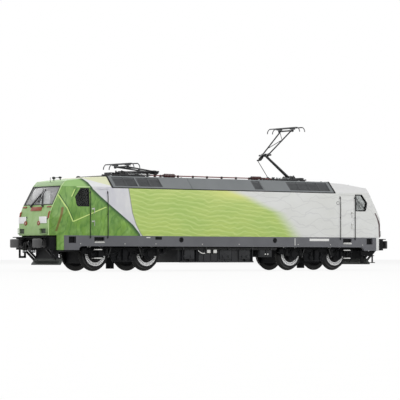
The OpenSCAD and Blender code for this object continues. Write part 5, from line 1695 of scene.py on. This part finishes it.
@dataclass
class DoorSteps:
    """The two bright treads that a bogie carries under each door, on black legs."""

    end: End
    x: float = 77.8
    half: float = 2.3
    inner: float = 13.3
    outer: float = 16.6

    def build(self) -> None:
        """Builds the treads and legs and dresses them."""
        x = self.end.value * self.x
        body = f"bogie_{self.end.word}"
        treads, legs = [], []
        for z in (4.9, 9.0):
            tread = block("tread", (x - self.half, self.inner + 0.6, z + RAIL), (x + self.half, self.outer, z + 0.4 + RAIL))
            treads.append(bevelled(tread, 0.1))
            for slot in range(4):
                middle = x - 1.65 + 1.1 * slot
                lip = block("tread_lip", (middle - 0.35, self.inner + 1.0, z + 0.3 + RAIL), (middle + 0.35, self.outer - 0.3, z + 0.48 + RAIL))
                treads.append(bevelled(lip, 0.05))
        for sign in (-1, 1):
            low, high = sorted((x + sign * self.half, x + sign * (self.half - 0.4)))
            legs.append(bevelled(block("leg", (low, self.inner, 4.9 + RAIL), (high, self.inner + 0.7, 9.4 + RAIL)), 0.08))
        steps = both_sides(f"{body}_step_treads", joined("step_treads", treads))
        dress(steps, NICKEL_SILVER.material(), Fixing(body, "bright_steps", (f"door_steps_{self.end.word}",)))
        dress(both_sides(f"{body}_step_legs", joined("step_legs", legs)), BLACK_POLYAMIDE.material(), Fixing(body, "black_frame"))


@dataclass
class Wheelset:
    """An axle with two wheels: blackened centres, a nickel tread and a printed brake disc on each face."""

    number: int
    x: float
    axle: float = 7.2
    tread: float = 7.2
    flange: float = 1.1
    back: float = 7.2
    width: float = 2.8

    def build(self) -> None:
        """Builds the wheelset and dresses it."""
        centre = (self.x, self.back, self.axle + RAIL)
        body, face = f"axle_{self.number}", self.width
        tread, rim = self.tread, self.tread + self.flange
        tyre = [
            (tread - 1.1, 0), (rim - 0.35, 0), (rim - 0.08, 0.12), (rim, 0.32), (rim - 0.12, 0.55), (rim - 0.4, 0.72),
            (tread + 0.12, 0.86), (tread + 0.03, 1.0), (tread - 0.02, face - 0.12), (tread - 0.12, face), (tread - 1.1, face),
        ]
        rings = [lathe("tyre", tyre, centre, (0, 1, 0), 72)]
        dress(both_sides(f"{body}_tyres", joined("tyres", rings)), NICKEL_TREAD.material(), Fixing(body, "wheel_steel"))
        web = [
            (0, 0.15), (tread - 0.9, 0.15), (tread - 0.25, 0.0), (tread - 0.25, 0.3), (tread - 0.06, 1.2),
            (tread - 0.06, face + 0.02), (6.15, face + 0.02), (5.95, face - 0.12), (5.95, face - 0.55), (4.15, face - 0.55),
            (4.0, face - 0.25), (3.4, face - 0.15), (2.3, face - 0.15), (2.1, face - 0.4), (0, face - 0.4),
        ]
        centre_piece = lathe("web", web, centre, (0, 1, 0), 64)
        shaft = rod("axle", (self.x, -11.8, self.axle + RAIL), (self.x, 11.8, self.axle + RAIL), 1.0, 32)
        dress(joined(f"{body}_centres", [both_sides("webs", centre_piece), shaft]), BLACKENED_WHEEL.material(), Fixing(body, "wheel_steel", (f"wheelset_{self.number}",)))
        disc = [(4.2, face - 0.56), (4.2, face - 0.3), (4.28, face - 0.22), (5.82, face - 0.22), (5.9, face - 0.3), (5.9, face - 0.56)]
        dress(both_sides(f"{body}_brake_discs", lathe("disc", disc, centre, (0, 1, 0), 64)), DISC_SILVER.material(), Fixing(body, "wheel_steel"))
        bolts = []
        for i in range(18):
            turn = FULL_TURN * i / 18
            place = (self.x + 5.02 * math.cos(turn), self.back + face - 0.24, self.axle + RAIL + 5.02 * math.sin(turn))
            bolts.append(lathe("bolt", [(0, 0.12), (0.22, 0.1), (0.27, 0), (0, 0)], place, (0, 1, 0), 8))
            out = (math.cos(turn + 0.17), math.sin(turn + 0.17))
            slot = rod("disc_slot", (self.x + 4.6 * out[0], place[1] + 0.0, self.axle + RAIL + 4.6 * out[1]), (self.x + 5.5 * out[0], place[1] + 0.0, self.axle + RAIL + 5.5 * out[1]), 0.11, 6)
            bolts.append(slot)
        dress(both_sides(f"{body}_disc_bolts", joined("disc_bolts", bolts)), BLACKENED_STEEL.material(), Fixing(body, "wheel_steel"))


# ---------------------------------------------------------------- pantographs


@dataclass
class Pantograph:
    """The springs, brackets and links that stand on a pantograph's base and arms."""

    end: End
    reach: float = 19.2
    folded: Flat = (2.5, 6.35)
    raised: float = 33.5
    ratio: float = 1.1

    def housing(self, pivot_x: float) -> bpy.types.Object:
        """The coupling housing beside the upper arm's tail, at the knuckle."""
        lift = self.raised if self.end is End.REAR else 0
        low, high = math.radians(self.folded[0] + lift), math.radians(self.folded[1] + lift * self.ratio)
        out = self.end.value
        knee = (pivot_x - out * self.reach * math.cos(low), 46.9 + RAIL + self.reach * math.sin(low))
        outline = []
        for along, up in ((-1.0, -0.95), (-3.2, -0.95), (-3.9, -0.4), (-3.9, 0.3), (-3.2, 0.7), (-1.0, 0.75)):
            along_x = along * math.cos(high) - up * math.sin(high)
            outline.append((knee[0] + out * along_x, knee[1] + along * math.sin(high) + up * math.cos(high)))
        return bevelled(prism("housing", outline, Axis.Y, 1.2, 1.95), 0.1)

    def build(self) -> None:
        """Builds the base's fittings and the knuckle's housing."""
        arm = Extent.of(f"lower_arm_{self.end.word}")
        out = self.end.value
        pivot_x = (arm.high.x if out > 0 else arm.low.x) - out * 0.95
        z = 46.0 + RAIL
        pieces = []
        for x in (pivot_x - out * 10.8, pivot_x + out * 7.0):
            for y in (-3.8, 3.8):
                ribs = [(0, -1.15), (0.75, -1.15), (0.95, -1.0), (0.75, -0.85), (0.75, -0.75), (0.95, -0.6), (0.75, -0.45), (0, -0.45)]
                pieces.append(lathe("foot_insulator", ribs, (x, y, z), (0, 0, 1), 20))
        dress(joined(f"pantograph_{self.end.word}_insulators", pieces), BROWN_GLAZE.material(), Fixing(LOCOMOTIVE, "insulator_brown"))
        springs = []
        for y in (-3.1, 3.1):
            points = []
            for i in range(85):
                angle = FULL_TURN * i / 12
                points.append((pivot_x - out * (1.6 + 0.08 * i), y + 0.34 * math.cos(angle), z + 0.42 + 0.34 * math.sin(angle)))
            springs.append(tube("lift_spring", points, 0.1, 1))
            springs.append(rod("spring_rod", (pivot_x + out * 0.6, y, z + 0.42), (pivot_x - out * 1.7, y, z + 0.42), 0.14, 8))
            springs.append(rod("spring_end", (pivot_x - out * 8.2, y, z + 0.42), (pivot_x - out * 10.2, y, z + 0.42), 0.14, 8))
            springs.append(bevelled(block("spring_post", (pivot_x - out * 10.2 - 0.3, y - 0.3, z - 0.1), (pivot_x - out * 10.2 + 0.3, y + 0.3, z + 0.8)), 0.08))
        dress(joined(f"pantograph_{self.end.word}_springs", springs), ZINC_PLATE.material(), Fixing(LOCOMOTIVE, "collector_steel"))
        screws = []
        for x in (pivot_x - out * 14.4, pivot_x - out * 8.4, pivot_x + out * 8.2):
            for y in (-3.8, 3.8):
                screws.append(lathe("base_screw", [(0, 0.28), (0.3, 0.26), (0.34, 0), (0, 0)], (x, y, z), (0, 0, 1), 8))
        dress(joined(f"pantograph_{self.end.word}_screws", screws), ZINC_PLATE.material(), Fixing(LOCOMOTIVE, "collector_steel"))
        cheeks = []
        for y in (-3.55, 3.05):
            outline = [(pivot_x - 2.7, z - 1.2), (pivot_x + 2.7, z - 1.2), (pivot_x + 1.5, z + 1.5), (pivot_x - 0.9, z + 1.7)]
            cheeks.append(bevelled(prism("cheek", outline, Axis.Y, y, y + 0.5), 0.1))
            cheeks.append(bevelled(block("cheek_rib", (pivot_x - 0.25, y - 0.25, z - 1.2), (pivot_x + 0.25, y + 0.75, z + 1.3)), 0.08))
        for x in (pivot_x - out * 13.2, pivot_x + out * 5.4):
            for y in (-3.8, 3.8):
                post = [(0, -1.2), (0.95, -1.2), (0.95, -0.9), (0.55, -0.7), (0.55, 0.3), (0.8, 0.45), (0.8, 0.75), (0, 0.75)]
                cheeks.append(lathe("stop_post", post, (x, y, z), (0, 0, 1), 20))
        dress(joined(f"pantograph_{self.end.word}_cheeks", cheeks), BLACKENED_STEEL.material(), Fixing(LOCOMOTIVE, "pantograph_black"))
        tail = f"pantograph_{self.end.word}_upper_arm"
        dress(self.housing(pivot_x), BLACKENED_STEEL.material(), Fixing(tail, "pantograph_black")).name = f"{tail}_housing"


# ---------------------------------------------------------------- studio


CARRIED_NODES: dict[str, Finish] = {
    "grey_bands": BAND_LACQUER,
    "band_steps": NICKEL_SILVER,
    "chassis": BLACK_POLYAMIDE,
    "die_cast_weight": ZINC_CASTING,
    "buffer_beams": BLACK_POLYAMIDE,
    "tread_plates": BLACK_POLYAMIDE,
    "drawhooks": BLACKENED_STEEL,
    "brake_hoses": SEAL_RUBBER,
    "snowploughs": PLOUGH_POLYAMIDE,
    "shunter_steps": BLACK_POLYAMIDE,
    "transformer_tank": TANK_POLYAMIDE,
    "equipment_box": BOX_POLYAMIDE,
    "roof_busbar": BUSBAR_ENAMEL,
    "pantograph_bases": PANTOGRAPH_LACQUER,
    "gearbox_front": BLACK_POLYAMIDE,
    "gearbox_rear": BLACK_POLYAMIDE,
    "lower_arm_front": PANTOGRAPH_LACQUER,
    "lower_arm_rear": PANTOGRAPH_LACQUER,
    "guide_rod_front": DRAWN_STEEL,
    "guide_rod_rear": DRAWN_STEEL,
    "upper_arm_front": PANTOGRAPH_LACQUER,
    "upper_arm_rear": PANTOGRAPH_LACQUER,
    "collector_head_front": DRAWN_STEEL,
    "collector_head_rear": DRAWN_STEEL,
}


@dataclass
class Studio:
    """A plain pale floor, a white surround, three soft lamps and the camera."""

    camera_place: Point = (-0.6240, -0.8347, 0.0062)
    camera_target: Point = (-0.00528, 0.0, 0.03551)
    lens: float = 185.8
    surround: float = 0.5

    def build(self) -> None:
        """Sets up the surround, the floor, the lamps and the camera."""
        self.world()
        self.floor()
        for name, place, size, power in (
            ("key_lamp", (-0.45, -0.9, 0.75), 0.7, 5.0),
            ("side_lamp", (0.75, -0.7, 0.45), 0.8, 2.2),
            ("back_lamp", (0.1, 0.9, 0.8), 0.9, 4.0),
        ):
            self.lamp(name, place, size, power)
        self.camera()
        bpy.context.scene.view_settings.view_transform = "Standard"

    def white_to_eye(self, tree: bpy.types.NodeTree) -> bpy.types.NodeSocket:
        """1 for rays that show the surround directly, by reflection or through glass."""
        path = add(tree, "ShaderNodeLightPath").outputs
        seen = path["Is Camera Ray"]
        for kind in ("Is Glossy Ray", "Is Transmission Ray"):
            seen = add(tree, "ShaderNodeMath", {0: seen, 1: path[kind]}, operation="MAXIMUM").outputs[0]
        return seen

    def world(self) -> None:
        """A white surround that lights the object at a lower level than it shows."""
        world = bpy.data.worlds.new("white_surround")
        bpy.context.scene.world = world
        world.use_nodes = True
        tree = world.node_tree
        tree.nodes.clear()
        level = {0: self.white_to_eye(tree), "To Min": self.surround, "To Max": 1.0}
        strength = add(tree, "ShaderNodeMapRange", level).outputs[0]
        light = add(tree, "ShaderNodeBackground", {"Color": linear("#FFFFFF"), "Strength": strength})
        add(tree, "ShaderNodeOutputWorld", {"Surface": light.outputs[0]})

    def floor(self) -> None:
        """A pale matt floor."""
        bpy.ops.object.select_all(action="DESELECT")
        bpy.ops.mesh.primitive_plane_add(size=12)
        floor = bpy.context.object
        floor.name = "floor"
        material, tree, point = blank_material("pale_floor")
        grain = speckle(tree, point, 3)
        colour = painted(tree, linear("#F1F1EF"), linear("#EDEDEB"), grain)
        shader = add(tree, "ShaderNodeBsdfPrincipled", {"Base Color": colour, "Roughness": 0.8})
        glow = add(tree, "ShaderNodeEmission", {"Color": linear("#FFFFFF"), "Strength": 1.0})
        share = add(tree, "ShaderNodeMath", {0: self.white_to_eye(tree), 1: 0.84}, operation="MULTIPLY").outputs[0]
        both = add(tree, "ShaderNodeMixShader", {0: share, 1: shader.outputs[0], 2: glow.outputs[0]})
        add(tree, "ShaderNodeOutputMaterial", {"Surface": both.outputs[0]})
        floor.data.materials.append(material)

    def lamp(self, name: str, place: Point, size: float, power: float) -> None:
        """A square soft lamp that points at the model."""
        bpy.ops.object.light_add(type="AREA", location=place)
        lamp = bpy.context.object
        lamp.name = name
        lamp.data.size = size
        lamp.data.energy = power
        lamp.rotation_euler = (Vector((0, 0, 0.03)) - Vector(place)).to_track_quat("-Z", "Y").to_euler()

    def camera(self) -> None:
        """The camera, low and from the front left."""
        bpy.ops.object.camera_add(location=self.camera_place)
        camera = bpy.context.object
        aim = Vector(self.camera_target) - Vector(self.camera_place)
        camera.rotation_euler = aim.to_track_quat("-Z", "Y").to_euler()
        camera.data.sensor_width = 36
        camera.data.lens = self.lens
        camera.data.clip_start = 0.01
        bpy.context.scene.camera = camera


def main() -> None:
    """Builds the finished model round the frame."""
    logging.basicConfig(level=logging.INFO, format="%(message)s")
    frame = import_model()
    for node, finish in CARRIED_NODES.items():
        piece = frame["nodes"][node]
        piece.data.materials.clear()
        piece.data.materials.append(finish.material())
    shell = BodyShell(Livery().material())
    shell.build()
    RoofHood().build()
    RoofGear().build()
    CabFront(shell).build()
    Ends().build()
    Underframe().build()
    for end in End:
        Bogie(end).build()
        DoorSteps(end).build()
        Pantograph(end).build()
    for number, x in enumerate((-75.0, -45.0, 45.0, 75.0), start=1):
        Wheelset(number, x).build()
    Studio().build()


if __name__ == "__main__":
    main()
